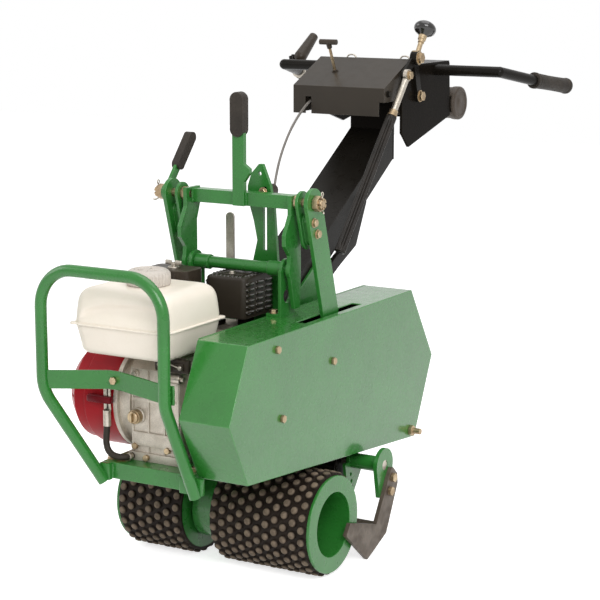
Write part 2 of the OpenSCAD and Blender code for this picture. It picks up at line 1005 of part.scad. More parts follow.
module hanger_shaft() {
  color(steel)
    placed()
      rod_x(hanger_r, -hanger_end, hanger_end, hub_at);
}

module eccentric_case() {
  color(black)
    placed()
      difference() {
        rod_x(eccentric_r, cover_in, cover_in + eccentric_w, hub_at + eccentric_off);
        rod_x(hanger_r + run_fit, cover_in - overrun, cover_in + eccentric_w + overrun, hub_at);
      }
}

// Engine: crankcase on its sump flange, with a cover on the output side and posts for the tank
crankcase_x = 15;
crankcase_back = -10;
crankcase_left = crankcase_x - crankcase_w;
crankcase_front = crankcase_back - crankcase_l;
crankcase_top = deck_z + crankcase_h;
sump_over = 5;
sump_t = 16;
crankcase_shares = [[0, 0], [1, 0], [1, 0.72], [0.56, 1], [0.13, 1], [0, 0.86]];
side_cover_r = 70;
side_cover_t = 15;
side_boss_r = 30;
side_boss_t = 12;
bell_l = 29;
bell_lip = 9;
bell_step = 9;
bell_x = crankcase_left - bell_l;
post_w = 22;
post_l = 60;
post_h = 11;
post_shares = [0.06, 0.7];

module crankcase() {
  color(steel)
    placed()
      difference() {
        union() {
          block(
            [crankcase_left - sump_over, crankcase_front - sump_over, deck_z],
            [crankcase_x + sump_over, crankcase_back, deck_z + sump_t]
          );
          along_x(crankcase_left, crankcase_x)
            polygon(spread(crankcase_shares, [crankcase_front, deck_z + sump_t - weld],
              [crankcase_l, crankcase_h - sump_t + weld]));
          rod_x(side_cover_r, crankcase_x - weld, crankcase_x + side_cover_t, crank_at);
          rod_x(side_boss_r, crankcase_x, crankcase_x + side_cover_t + side_boss_t, crank_at);
          rod_x(fan_r, bell_x, bell_x + bell_lip, crank_at);
          rod_x(fan_r - bell_step, bell_x, crankcase_left + weld, crank_at);
          for (s = post_shares)
            translate([crankcase_left + s * crankcase_w, crankcase_front + post_w, crankcase_top - weld])
              cube([post_w, post_l, post_h + weld]);
        }
        rod_x(crankshaft_r + run_fit, bell_x - overrun, cover_in, crank_at);
      }
}

// Finned cylinder behind the crankcase
cylinder_l = 80;
cylinder_in = 4;
cylinder_out = 20;
cylinder_low = 75;
cylinder_high = 215;
cylinder_x0 = crankcase_left + cylinder_in;
cylinder_x1 = crankcase_x + cylinder_out;
cylinder_z0 = deck_z + cylinder_low;
cylinder_z1 = deck_z + cylinder_high;
cylinder_core = 15;
cylinder_shares = [[0, 0.05], [0.6, 0], [1, 0.3], [1, 1], [0.35, 1], [0, 0.5]];
fin_count = 7;
fin_t = 3;
fin_inset = 6;

module cylinder_block() {
  color(grey)
    placed() {
      along_x(cylinder_x0 + cylinder_core, cylinder_x1 - cylinder_core)
        polygon(spread(cylinder_shares, [crankcase_back, cylinder_z0], [cylinder_l, cylinder_z1 - cylinder_z0]));
      for (i = [1 : fin_count])
        translate([cylinder_x0, crankcase_back + i * cylinder_l / fin_count - fin_t, cylinder_z0 + fin_inset])
          cube([cylinder_x1 - cylinder_x0, fin_t, cylinder_z1 - cylinder_z0 - 2 * fin_inset]);
    }
}

// Red fan cover and recoil starter cover on the engine's left side
fan_wall = 3;
fan_l = 66;
fan_x0 = bell_x - fan_l;
starter_l = 52;
starter_x0 = fan_x0 - starter_l;
starter_step = 6;
starter_shares = [[0, 0], [0.72, 0], [0.78, 0.1], [1, 0.5], [1, 1], [0, 1]];
slot_count = 14;
slot_w = 5;
slot_depth = 16;
slot_end_share = 0.45;

module fan_cover() {
  color(red)
    placed()
      turned_x(crank_at) {
        ring_2d(fan_r - fan_wall, fan_r, fan_x0, bell_x);
        ring_2d(crankshaft_r + overrun, fan_r - fan_wall / 2, fan_x0, fan_x0 + fan_wall);
      }
}

module starter_cover() {
  outer_r = fan_r - starter_step;
  color(red)
    placed()
      difference() {
        turned_x(crank_at)
          difference() {
            polygon(spread(starter_shares, [0, starter_x0], [outer_r, starter_l]));
            polygon(spread(starter_shares, [0, starter_x0 + fan_wall], [outer_r - fan_wall, starter_l]));
          }
        for (i = [0 : slot_count - 1])
          translate([0, crank_at[0], crank_at[1]])
            rotate([360 * i / slot_count, 0, 0])
              block(
                [starter_x0 - overrun, outer_r - slot_depth, -slot_w / 2],
                [starter_x0 + slot_end_share * starter_l, outer_r + overrun, slot_w / 2]
              );
      }
}

// Fuel tank: two rounded shells that meet at a flange, on the crankcase's posts
tank_out = 21;
tank_ahead = 85;
tank_x1 = crankcase_x + tank_out;
tank_x0 = tank_x1 - tank_w;
tank_y1 = crankcase_back - tank_ahead;
tank_y0 = tank_y1 - tank_l;
tank_z0 = crankcase_top + post_h;
tank_z1 = tank_z0 + tank_h;
tank_seam_share = 0.444;
tank_corner_r = 26;
tank_top_r = 22;
tank_top_in = 6;
tank_low_in = 12;
tank_flange = 5;
tank_flange_t = 4;
tank_fn = 32;

module tank_shell(seam_z, end_z, inward, end_r) {
  lo = [tank_x0, tank_y0] + tank_corner_r * [1, 1];
  hi = [tank_x1, tank_y1] - tank_corner_r * [1, 1];
  way = sign(end_z - seam_z);
  hull() {
    for (x = [lo[0], hi[0]])
      for (y = [lo[1], hi[1]])
        translate([x, y, seam_z])
          cylinder(r = tank_corner_r, h = tank_flange_t / 2, center = true, $fn = tank_fn);
    for (x = [tank_x0 + inward + end_r, tank_x1 - inward - end_r])
      for (y = [tank_y0 + inward + end_r, tank_y1 - inward - end_r])
        translate([x, y, end_z - way * end_r])
          rotate([90, 0, 0])
            sphere(r = end_r, $fn = tank_fn);
  }
}

module fuel_tank() {
  seam_z = tank_z0 + tank_seam_share * tank_h;
  color(cream)
    placed() {
      tank_shell(seam_z, tank_z1, tank_top_in, tank_top_r);
      tank_shell(seam_z, tank_z0, tank_low_in, tank_top_r);
      translate([0, 0, seam_z - tank_flange_t / 2])
        linear_extrude(height = tank_flange_t)
          round_rect([tank_x0, tank_y0] - tank_flange * [1, 1], [tank_x1, tank_y1] + tank_flange * [1, 1],
            tank_corner_r + tank_flange);
    }
}

cap_place = [-75, 15];
cap_at = [crankcase_x, crankcase_front] + cap_place;
cap_ribs = 24;
cap_rib_r = 3;

module fuel_cap() {
  color(grey)
    placed()
      translate([cap_at[0], cap_at[1], tank_z1 + slide_fit]) {
        cylinder(d = cap_d - 2 * cap_rib_r, h = cap_h);
        for (i = [0 : cap_ribs - 1])
          rotate(360 * i / cap_ribs)
            translate([cap_d / 2 - cap_rib_r, 0, 0])
              cylinder(r = cap_rib_r, h = cap_h - cap_rib_r);
      }
}

// Air cleaner on the cylinder's top
air_foot_t = 7;
air_near = [-59, -72, air_foot_t];
air_far = [37, -9, 113];
air_lo = [crankcase_left, crankcase_back, cylinder_z1] + air_near;
air_hi = [crankcase_left, crankcase_back, cylinder_z1] + air_far;
air_r = 14;
air_foot_w = 34;
air_foot_l = 67;

module air_cleaner() {
  color(black)
    placed() {
      translate([0, 0, air_lo[2]])
        linear_extrude(height = air_hi[2] - air_lo[2])
          round_rect([air_lo[0], air_lo[1]], [air_hi[0], air_hi[1]], air_r);
      block(
        [cylinder_x0 + cylinder_core, air_hi[1] - weld - air_foot_w / 2, cylinder_z1],
        [cylinder_x0 + cylinder_core + air_foot_w, air_hi[1] - weld - air_foot_w / 2 + air_foot_l, air_lo[2] + weld]
      );
    }
}

// Muffler over the cylinder and its slotted guard
guard_near = [-55, -76, 25];
guard_far = [23, 78, 102];
guard_lo = [crankcase_x, crankcase_back, cylinder_z1] + guard_near;
guard_hi = [crankcase_x, crankcase_back, cylinder_z1] + guard_far;
guard_wall = 2;
guard_slots = 8;
guard_slot_w = 7;
guard_slot_rows = 5;
muffler_gap = 6;
muffler_stud_r = 5;
exhaust_r = 14;
exhaust_back = 50;

module muffler() {
  lo = guard_lo + muffler_gap * [1, 1, 1];
  hi = guard_hi - (muffler_gap + guard_wall) * [1, 1, 1];
  color(black)
    placed() {
      along_y(lo[1], hi[1])
        round_rect([lo[0], lo[2]], [hi[0], hi[2]], air_r);
      translate([(lo[0] + hi[0]) / 2, crankcase_back + exhaust_back, cylinder_z1])
        cylinder(r = exhaust_r, h = lo[2] - cylinder_z1 + air_r);
      for (y = [lo[1] + air_r, hi[1] - air_r])
        translate([(lo[0] + hi[0]) / 2, y, hi[2] - weld])
          cylinder(r = muffler_stud_r, h = guard_hi[2] - guard_wall - hi[2] + weld);
    }
}

module muffler_guard() {
  l = guard_hi[1] - guard_lo[1];
  w = guard_hi[0] - guard_lo[0];
  h = guard_hi[2] - guard_lo[2];
  pitch = l / (guard_slots + 1);
  row = h / (guard_slot_rows + 1);
  color(black)
    placed()
      difference() {
        block(guard_lo, guard_hi);
        block(guard_lo + [guard_wall, guard_wall, -overrun], guard_hi - guard_wall * [1, 1, 1]);
        for (i = [1 : guard_slots])
          translate([guard_lo[0] + w / 4, guard_lo[1] + i * pitch - guard_slot_w / 2, guard_hi[2] - overrun])
            cube([w / 2, guard_slot_w, 2 * overrun]);
        for (i = [1 : guard_slot_rows])
          for (x = [guard_lo[0], guard_hi[0]])
            translate([x - overrun, guard_lo[1] + pitch, guard_lo[2] + i * row - guard_slot_w / 2])
              cube([2 * overrun, l - 2 * pitch, guard_slot_w]);
        for (i = [1 : guard_slot_rows])
          translate([guard_lo[0] + w / 4, guard_lo[1] - overrun, guard_lo[2] + i * row - guard_slot_w / 2])
            cube([w / 2, 2 * overrun, guard_slot_w]);
      }
}

// Copper bolts and the filler plug on the crankcase's front face, and the sump's drain bolt
sump_bolt_r = 6;
sump_bolt_l = 7;
sump_bolt_up = 26;
sump_bolt_shares = [0.08, 0.75];
drain_share = 0.34;
filler_share = 0.15;
filler_up = 83;
filler_r = 13;
filler_l = 17;

module engine_bolts() {
  color(zinc)
    placed() {
      for (s = sump_bolt_shares)
        rod_y(sump_bolt_r, crankcase_front - sump_bolt_l, crankcase_front,
          [crankcase_left + s * crankcase_w, deck_z + sump_bolt_up]);
      rod_y(sump_bolt_r, crankcase_front - sump_over - sump_bolt_l, crankcase_front - sump_over,
        [crankcase_left + drain_share * crankcase_w, deck_z + sump_t / 2]);
      rod_y(filler_r, crankcase_front - filler_l, crankcase_front,
        [crankcase_left + filler_share * crankcase_w, deck_z + filler_up]);
    }
}

// Drain hose from a clip at the fan cover's front down to the sump's front face
hose_r = 6;
hose_route = [
  [-128, -229.5, 322], [-128, -229.5, 300], [-129, -230, 282], [-129, -232, 264], [-124, -234, 250],
  [-114, -235, 242], [-102, -233, 239], [-93, -227, 238], [-88, -218, 238], [-87, -210.3, 238]
];

module drain_hose() {
  color(black)
    placed()
      swept_tube(smooth_route(hose_route, 3), hose_r, [1, 0, 0]);
}

// Starter grip beside the recoil starter, on the side away from the front
starter_lean = 25;
starter_dir = [0, cos(starter_lean), sin(starter_lean)];
starter_grip_r = 8;
starter_grip_l = 36;
starter_neck_r = 5;
starter_neck_l = 16;

module starter_grip() {
  mid = [starter_x0 + starter_l * 3 / 4, crank_at[0], crank_at[1]];
  foot = mid + (fan_r - starter_step + slide_fit) * starter_dir;
  color(black)
    placed() {
      rod(foot, foot + starter_neck_l * starter_dir, starter_neck_r);
      rod_x(starter_grip_r, foot[0] - starter_grip_l / 2, foot[0] + starter_grip_l / 2,
        [foot[1], foot[2]] + (starter_neck_l + starter_grip_r - weld) * [starter_dir[1], starter_dir[2]]);
    }
}

// Handle head: two side plates, a cross plate on the column's end and a top plate
head_x = head_w / 2;
head_t = 6;
head_over = 1;
head_front = 455;
head_size = [218, 161];
head_top = bar_z + bar_r + head_over;
head_at = [head_front, head_top - head_size[1]];
head_shares = [[0.14, 0], [1, 0.31], [0.98, 1], [0.115, 1], [0, 0.72], [0, 0.19]];
head_left_shares = [[0, 0.46], [0.39, 0.33], [0.66, 0.22], [1, 0.31], [0.98, 1], [0.115, 1], [0, 0.72]];
head_cross_rise = 56;
head_plate_t = 4;
console_back = 499;
clutch_back = 520;
clutch_drop = 60;
clutch_at = [clutch_back, head_top - clutch_drop];
clutch_stud_r = 6;
clutch_t = 6;
clutch_x = head_x + head_t + slide_fit;
tube_back = 711;
tube_drop = 88;
tube_at = [tube_back, head_top - tube_drop];
tube_out_r = 33;
tube_over = 11;
tab_h = 34;
tab_l = 56;

module head_plate(shares) {
  difference() {
    along_x(head_x, head_x + head_t) {
      polygon(spread(shares, head_at, head_size));
      translate(tube_at - [tab_l, tab_h / 2])
        square([tab_l, tab_h]);
    }
    rod_x(bar_r + run_fit, head_x - overrun, head_x + head_t + overrun, [bar_back, bar_z]);
    rod_x(tube_out_r + run_fit, head_x - overrun, head_x + head_t + overrun, tube_at);
  }
}

module handle_head() {
  color(black)
    placed() {
      head_plate(head_shares);
      mirror([1, 0, 0])
        head_plate(head_left_shares);
      block(
        [-head_x - weld, column_back, head_at[1] + head_cross_rise],
        [head_x + weld, column_back + head_t, head_top + weld]
      );
      block(
        [-column_w / 2, column_back, column_under(column_back)],
        [column_w / 2, column_back + head_t, head_at[1] + head_cross_rise + weld]
      );
      block(
        [-head_x - head_t, console_back, head_top],
        [head_x + head_t, head_at[0] + head_size[0] - head_t, head_top + head_plate_t]
      );
      rod_x(clutch_stud_r, head_x + head_t - weld, clutch_x + clutch_t, clutch_at);
    }
}

// Console: folded sheet with a sloped top, open below and behind, with a notch for the cable
console_front = 388;
console_drop = 93;
console_edge_drop = 37;
console_rise = 15;
console_low = head_top - console_drop;
console_edge = head_top - console_edge_drop;
console_high = head_top + console_rise;
console_wall = 3;
rod_notch_in = 12;
rod_notch_l = 58;
rod_notch_h = 28;
console_outline = [
  [console_front, console_low], [console_back, console_low],
  [console_back, console_high], [console_front, console_edge]
];
notch_x = -69;
notch_w = 14;
notch_h = 34;
console_dir = unit([console_edge - console_high, console_back - console_front]);
throttle_x = -39;
throttle_share = 0.51;
throttle_at = [console_front, console_edge]
  + throttle_share * [console_back - console_front, console_high - console_edge];
throttle_r = 3;
throttle_up = 66;
throttle_down = 26;
throttle_bar_r = 5.5;
throttle_bar_l = 38;

function on_throttle(s) = [throttle_x, throttle_at[0] + s * console_dir[0], throttle_at[1] + s * console_dir[1]];

module console_box() {
  color(black)
    placed()
      difference() {
        along_x(-head_x, head_x)
          polygon(console_outline);
        along_x(console_wall - head_x, head_x - console_wall)
          polygon(inset(console_outline, [-overrun, -overrun, console_wall, console_wall]));
        block(
          [notch_x - notch_w / 2, console_front - overrun, console_low - overrun],
          [notch_x + notch_w / 2, console_front + overrun, console_low + notch_h]
        );
        block(
          [head_x - rod_notch_in, console_front - overrun, console_low - overrun],
          [head_x + overrun, console_front + rod_notch_l, console_low + rod_notch_h]
        );
        rod(on_throttle(-throttle_down), on_throttle(throttle_up), throttle_r + slide_fit);
      }
}

module throttle_knob() {
  top = on_throttle(throttle_up);
  color(black)
    placed() {
      rod(on_throttle(-throttle_down), top, throttle_r);
      rod_x(throttle_bar_r, throttle_x - throttle_bar_l / 2, throttle_x + throttle_bar_l / 2, [top[1], top[2]]);
    }
}

// Throttle cable from the head's cross plate through the console's notch to the column's top
cable_r = 2.5;
cable_route = [
  [-69, 529.7, 845], [-69, 500, 845], [-69, 450, 844], [-69, 400, 837], [-70, 370, 822], [-68, 330, 796],
  [-60, 285, 765], [-46, 235, 727], [-26, 185, 683], [-6, 152, 638], [9, 132, 595], [17, 121, 556],
  [20, 118, 524], [20, 118, 508]
];

module throttle_cable() {
  color(grey)
    placed()
      swept_tube(smooth_route(cable_route, 3), cable_r, [1, 0, 0]);
}

// Handlebar through the head plates, with a lug for the left hand lever, and its grips
lever_share = 0.56;
lever_foot = [-arm_bend[0], arm_bend[1], arm_bend[2]]
  + lever_share * [-arm_run[0], arm_run[1], arm_run[2]];
lug_run = [-6, 4, 26];
lever_at = lever_foot + lug_run;
lever_pin_r = 4;
lever_pin_l = 24;
lug_r = 7;
grip_cap = 6;

module handlebar() {
  color(black)
    placed() {
      rod_x(bar_r, -arm_bend[0], arm_bend[0], [arm_bend[1], arm_bend[2]]);
      both_sides() {
        translate(arm_bend)
          sphere(r = bar_r + bend_swell);
        rod(arm_bend, grip_start, bar_r);
        translate(grip_start)
          sphere(r = bar_r + bend_swell);
        rod(grip_start, grip_end - grip_cap * grip_dir, bar_r);
      }
      rod(lever_foot, lever_at, lug_r);
      rod_x(lever_pin_r, lever_at[0], lever_at[0] + lever_pin_l, [lever_at[1], lever_at[2]]);
    }
}

module hand_grips() {
  color(rubber)
    placed()
      both_sides()
        difference() {
          rod(grip_start + weld * grip_dir, grip_end, grip_r);
          rod(grip_start - overrun * grip_dir, grip_end - grip_cap * grip_dir, bar_r + run_fit);
        }
}

lever_r = 14;
lever_tip_r = 10;
lever_run = [0, 57, 41];
lever_gap = 1;

module hand_lever() {
  foot = lever_at + [lug_r + lever_gap + lever_r, 0, 0];
  color(black)
    placed()
      difference() {
        union() {
          rod(foot, foot + lever_run, lever_r, lever_tip_r);
          translate(foot)
            sphere(r = lever_r);
        }
        rod_x(lever_pin_r + run_fit, lever_at[0], lever_at[0] + lever_pin_l + slide_fit, [lever_at[1], lever_at[2]]);
      }
}

tube_wall = 2.5;

module document_tube() {
  l = head_x + tube_over;
  color(black)
    placed()
      difference() {
        rod_x(tube_out_r, -l, l, tube_at);
        rod_x(tube_out_r - tube_wall, tube_wall - l, l - tube_wall, tube_at);
      }
}

// Clutch lever on the head's right plate, its ball knob and the rod that runs down to the idler
eye_run = [-65, 46];
block_run = [-21, 78];
eye_at = clutch_at + eye_run;
clutch_block_at = clutch_at + block_run;
clutch_block_r = 15;
clutch_block_l = 14;
clutch_arm_r = 9;
clutch_rod_r = 5;
ball_run = [0, 38, 56];
ball_r = 23;
ball_h = 34;
eye_pin_r = 5;
eye_pin_l = 12;
eye_r = 12;
eye_t = 8;
eye_x = clutch_x + clutch_t + slide_fit;
ball_foot = [clutch_x + clutch_block_l / 2, clutch_block_at[0], clutch_block_at[1]];
ball_dir = unit(ball_run);
ball_mid = ball_foot + ball_run;

module clutch_lever() {
  color(zinc)
    placed() {
      difference() {
        along_x(clutch_x, clutch_x + clutch_t) {
          bar_2d(clutch_at, clutch_block_at, clutch_arm_r);
          bar_2d(clutch_block_at, eye_at, clutch_arm_r);
          spot(clutch_at, eye_r);
        }
        rod_x(clutch_stud_r + run_fit, clutch_x - overrun, clutch_x + clutch_t + overrun, clutch_at);
      }
      rod_x(clutch_block_r, clutch_x, clutch_x + clutch_block_l, clutch_block_at);
      rod_x(eye_pin_r, clutch_x + weld, eye_x + eye_pin_l, eye_at);
      rod(ball_foot, ball_mid, clutch_rod_r);
    }
}

module clutch_knob() {
  color(black)
    placed()
      translate(ball_mid)
        rotate([0, acos(ball_dir[2]), atan2(ball_dir[1], ball_dir[0])])
          difference() {
            rotate_extrude() {
              intersection() {
                translate([ball_r - ball_h / 2, 0])
                  circle(r = ball_h / 2);
                translate([0, -ball_h / 2])
                  square([ball_r, ball_h]);
              }
              translate([0, -ball_h / 2])
                square([ball_r - ball_h / 2, ball_h]);
            }
            translate([0, 0, -ball_h])
              cylinder(r = clutch_rod_r + run_fit, h = ball_h + run_fit);
          }
}

rod_top = [eye_x + eye_t / 2, eye_at[0], eye_at[1]];
rod_run = [-36, -208, -331];
rod_dir = unit(rod_run);
rod_r = 7;
rod_in_r = 6;
sleeve_share = 0.27;
sleeve_r = 11;
sleeve_start = rod_top + sleeve_share * rod_run;

module clutch_rod() {
  color(steel)
    placed()
      difference() {
        union() {
          rod_x(eye_r, eye_x, eye_x + eye_t, eye_at);
          rod(rod_top + (clutch_arm_r + weld) * rod_dir, sleeve_start, rod_r);
          rod(sleeve_start - weld * rod_dir, rod_top + rod_run, rod_in_r);
        }
        rod_x(eye_pin_r + run_fit, eye_x - overrun, eye_x + eye_t + overrun, eye_at);
      }
}

module rod_sleeve() {
  color(rubber)
    placed()
      difference() {
        rod(sleeve_start + run_fit * rod_dir, rod_top + rod_run, sleeve_r);
        rod(sleeve_start - overrun * rod_dir, rod_top + rod_run + overrun * rod_dir, rod_in_r + run_fit);
      }
}

// Rocker: a pivot tube with two arms, the square lift bar between them and the lift lever
arm_x = 110;
arm_t = 8;
sleeve_x0 = 66;
sleeve_x1 = 94;
sleeve_wall = 3;
sleeve_out_r = rocker_r + sleeve_wall;
pivot_r = 8;
arm_shares = [
  [0, -0.58], [0.16, -0.58], [0.18, 0], [0.18, 0.6], [0.27, 0.85], [0.27, 1.1], [-0.1, 1.1], [-0.1, 0.82],
  [-0.26, 0.54], [-0.26, 0.38], [-0.12, 0.22], [-0.14, 0]
];
lift_bar_place = [2, -15];
bar_lo = lift_at + lift_bar_place;
lever_mid = -2.5;
lever_half = 12.5;
lever_plate_t = 8;
lift_top = lift_at[1] + lift_lever_l;
lift_grip_r = 14.5;
lift_grip_l = 82;
lift_grip_t = 5;
tooth_w = 14;
tooth_shares = [[0, 0.14], [1, 0.24], [1, 0.28], [0, 0.33]];

module rocker_frame() {
  color(green)
    placed() {
      difference() {
        both_sides()
          along_x(arm_x, arm_x + arm_t) {
            polygon(spread(arm_shares, rocker_at, lift_throw * [1, 1]));
            spot(rocker_at, bracket_head_r);
          }
        rod_x(pivot_r + run_fit, -arm_x - arm_t - overrun, arm_x + arm_t + overrun, lift_at);
      }
      rod_x(rocker_r, -arm_x - weld, arm_x + weld, rocker_at);
      both_sides()
        rod_x(sleeve_out_r, sleeve_x0, sleeve_x1, rocker_at);
      block(
        [-arm_x - weld / 2, bar_lo[0], bar_lo[1]],
        [arm_x + weld / 2, bar_lo[0] + lift_bar_s, bar_lo[1] + lift_bar_s]
      );
      along_y(bar_lo[0] - lever_plate_t, bar_lo[0] + weld) {
        translate([lever_mid - lever_half, bar_lo[1]])
          square([2 * lever_half, lift_top - lift_grip_r - bar_lo[1]]);
        polygon(spread(tooth_shares, [lever_mid + lever_half - weld, lift_at[1]], [tooth_w, lift_lever_l]));
      }
    }
}

module lift_grip() {
  y0 = bar_lo[0] - lever_plate_t;
  y1 = bar_lo[0] + weld;
  color(black)
    placed()
      difference() {
        along_y(y0 - lift_grip_t, y1 + lift_grip_t)
          bar_2d([lever_mid, lift_top - lift_grip_l + lift_grip_r], [lever_mid, lift_top - lift_grip_r], lift_grip_r);
        block(
          [lever_mid - lever_half - run_fit, y0 - run_fit, bar_lo[1]],
          [lever_mid + lever_half + run_fit, y1 + run_fit, lift_top - lift_grip_r + run_fit]
        );
      }
}

// Bolts on the lift bar's pivots: the left one is longer and carries the lock lever
clevis_x = 128;
clevis_t = 6;
spacer_r = 13;
lock_gap = 6;
lock_x = link_x + link_t + lock_gap;
lock_t = 6;
pivot_nut_t = 12;
pivot_nut_across = 26;

module pivot_bolt(end_x) {
  rod_x(pivot_r, arm_x + weld, end_x + pivot_nut_t, lift_at);
  rod_x(spacer_r, arm_x + arm_t + slide_fit, clevis_x - slide_fit, lift_at);
  hex_x(pivot_nut_across, end_x, end_x + pivot_nut_t, lift_at);
}

module pivot_bolts() {
  color(zinc)
    placed() {
      pivot_bolt(link_x + link_t + slide_fit);
      mirror([1, 0, 0])
        pivot_bolt(lock_x + lock_t + slide_fit);
    }
}

// Lift links from the lift bar's pivots down to the blade hangers' cranks
crank_l = 136;
pin_at = hub_at + [0, crank_l];
pin_r = 8;
pin_clear = 2.5;
link_r = link_w / 2;
knee_run = [-89, 105];
knee_at = pin_at + knee_run;
link_foot_r = 20;
clevis_l = 70;
clevis_r = 21;
link_dir = unit(knee_at - lift_at);

module lift_link() {
  difference() {
    union() {
      along_x(link_x, link_x + link_t) {
        bar_2d(lift_at, knee_at, link_r);
        bar_2d(knee_at, pin_at, link_foot_r);
      }
      along_x(clevis_x, clevis_x + clevis_t)
        bar_2d(lift_at, lift_at + clevis_l * link_dir, clevis_r);
      along_x(clevis_x + clevis_t - weld, link_x + weld)
        bar_2d(lift_at + clevis_l / 2 * link_dir, lift_at + clevis_l * link_dir, spacer_r);
    }
    rod_x(pivot_r + run_fit, clevis_x - overrun, link_x + link_t + overrun, lift_at);
    rod_x(pin_r + pin_clear, link_x - overrun, link_x + link_t + overrun, pin_at);
  }
}

module lift_links() {
  color(green)
    placed()
      both_sides()
        lift_link();
}

// Lock lever on the left pivot bolt
lock_lean = 40;
lock_l = 136;
lock_r = 8;
lock_hub_r = 15;
lock_grip_r = 10.5;
lock_grip_l = 62;
lock_grip_t = 5;
lock_dir = [sin(lock_lean), cos(lock_lean)];

module lock_lever() {
  color(green)
    placed()
      mirror([1, 0, 0])
        difference() {
          along_x(lock_x, lock_x + lock_t) {
            bar_2d(lift_at, lift_at + (lock_l - lock_grip_r) * lock_dir, lock_r);
            spot(lift_at, lock_hub_r);
          }
          rod_x(pivot_r + run_fit, lock_x - overrun, lock_x + lock_t + overrun, lift_at);
        }
}

module lock_grip() {
  tip = lift_at + (lock_l - lock_grip_r) * lock_dir;
  color(black)
    placed()
      mirror([1, 0, 0])
        difference() {
          along_x(lock_x - lock_grip_t, lock_x + lock_t + lock_grip_t)
            bar_2d(tip - lock_grip_l * lock_dir, tip, lock_grip_r);
          along_x(lock_x - run_fit, lock_x + lock_t + run_fit)
            bar_2d(lift_at, tip, lock_r + run_fit);
        }
}

// Gear lever on the left side plate's bracket
gear_l = 142;
gear_r = 9;

module gear_lever() {
  color(grey)
    placed()
      difference() {
        along_y(gear_y, gear_y + gear_t)
          bar_2d([gear_x, gear_pin_z], [gear_x, gear_pin_z + gear_l - gear_r], gear_r);
        rod_y(gear_pin_r + run_fit, gear_y - overrun, gear_y + gear_t + overrun, [gear_x, gear_pin_z]);
      }
}

// Blade hangers: outer plate, boss on the hanger shaft and the crank that the link turns
hanger_t = 8;
arm_in = drum_end + blade_gap;
hanger_plate_r = 33;
boss_r = 15;
crank_gap = 9;
crank_x = link_x - crank_gap;
crank_t = 6;
crank_r = 18;
hanger_tail = 64;
tail_shares = [[-0.52, 0], [-0.34, -0.94], [0.03, -1], [0.5, -0.38], [0.5, 0]];
blade_bolt_r = 5;
blade_bolt_shares = [[0.25, -0.42], [0.08, -0.8]];
adjust_hole_r = 4;
adjust_shares = [[-0.16, -0.4], [-0.12, -0.62], [-0.08, -0.82]];

module blade_hanger() {
  difference() {
    union() {
      along_x(arm_in - hanger_t, arm_in) {
        spot(hub_at, hanger_plate_r);
        polygon(spread(tail_shares, hub_at, hanger_tail * [1, 1]));
      }
      rod_x(boss_r, crank_x, arm_in - weld, hub_at);
      along_x(crank_x, crank_x + crank_t) {
        bar_2d(hub_at, pin_at, crank_r);
        polygon(spread(tail_shares, hub_at, hanger_tail * [1, 1]));
      }
      rod_x(pin_r, crank_x + weld, link_x + link_t + weld, pin_at);
    }
    rod_x(hanger_r + run_fit, crank_x - overrun, arm_in + overrun, hub_at);
    for (at = spread(blade_bolt_shares, hub_at, hanger_tail * [1, 1]))
      rod_x(blade_bolt_r + run_fit, arm_in - hanger_t - overrun, arm_in + overrun, at);
    for (at = spread(adjust_shares, hub_at, hanger_tail * [1, 1]))
      rod_x(adjust_hole_r, crank_x - overrun, crank_x + crank_t + overrun, at);
  }
}

module blade_hangers() {
  color(green)
    placed()
      both_sides()
        blade_hanger();
}

// Cutting blade: two arms outside the drums and a cross blade between them
blade_drop = 8;
blade_l = 204;
blade_h = hub_at[1] - blade_drop;
blade_reach = 165;
blade_at = [hub_at[0] - blade_reach, 0];
blade_shares = [
  [0.868, 1], [0.814, 0.897], [0.574, 0.385], [0.074, 0.577], [0, 0.442], [0.402, 0], [0.775, 0.205],
  [1, 0.776], [0.99, 0.897], [0.907, 1]
];
cross_shares = [[0.387, 0.23], [0.42, 0.2], [0.68, 0.32], [0.68, 0.37]];

module cutting_blade() {
  color(rubber)
    placed() {
      both_sides()
        difference() {
          along_x(arm_in, arm_in + blade_t)
            polygon(spread(blade_shares, blade_at, [blade_l, blade_h]));
          for (at = spread(blade_bolt_shares, hub_at, hanger_tail * [1, 1]))
            rod_x(blade_bolt_r + run_fit, arm_in - overrun, arm_in + blade_t + overrun, at);
        }
      along_x(-arm_in - weld, arm_in + weld)
        polygon(spread(cross_shares, blade_at, [blade_l, blade_h]));
    }
}

blade_bolt_across = 16;
blade_nut_t = 7;

module blade_bolts() {
  color(zinc)
    placed()
      both_sides()
        for (at = spread(blade_bolt_shares, hub_at, hanger_tail * [1, 1])) {
          rod_x(blade_bolt_r, arm_in - hanger_t, arm_in + blade_t + weld, at);
          hex_x(blade_bolt_across, arm_in + blade_t, arm_in + blade_t + blade_nut_t, at);
        }
}

engine_deck();
right_side_plate();
left_side_plate();
column_seat();
tube_brackets();
quadrant_plate();
belt_cover();
bumper_hoop();
frame_bolts();
chain_case();
hanger_shaft();
eccentric_case();
crankcase();
cylinder_block();
fan_cover();
starter_cover();
fuel_tank();
air_cleaner();
muffler();
muffler_guard();
engine_bolts();
drain_hose();
handle_column();
handle_head();
console_box();
handlebar();
hand_grips();
document_tube();
throttle_cable();
drive_belt();
drive_chain();
wheel_axle();
left_drum();
right_drum();
drum_treads();
crankshaft();
engine_pulley();
jackshaft();
driven_pulley();
idler_arm();
idler_pulley();
clutch_lever();
clutch_knob();
clutch_rod();
rod_sleeve();
throttle_knob();
rocker_frame();
lift_grip();
pivot_bolts();
lift_links();
lock_lever();
lock_grip();
gear_lever();
hand_lever();
blade_hangers();
cutting_blade();
blade_bolts();
fuel_cap();
starter_grip();
latch_knob();
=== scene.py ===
import json
import math

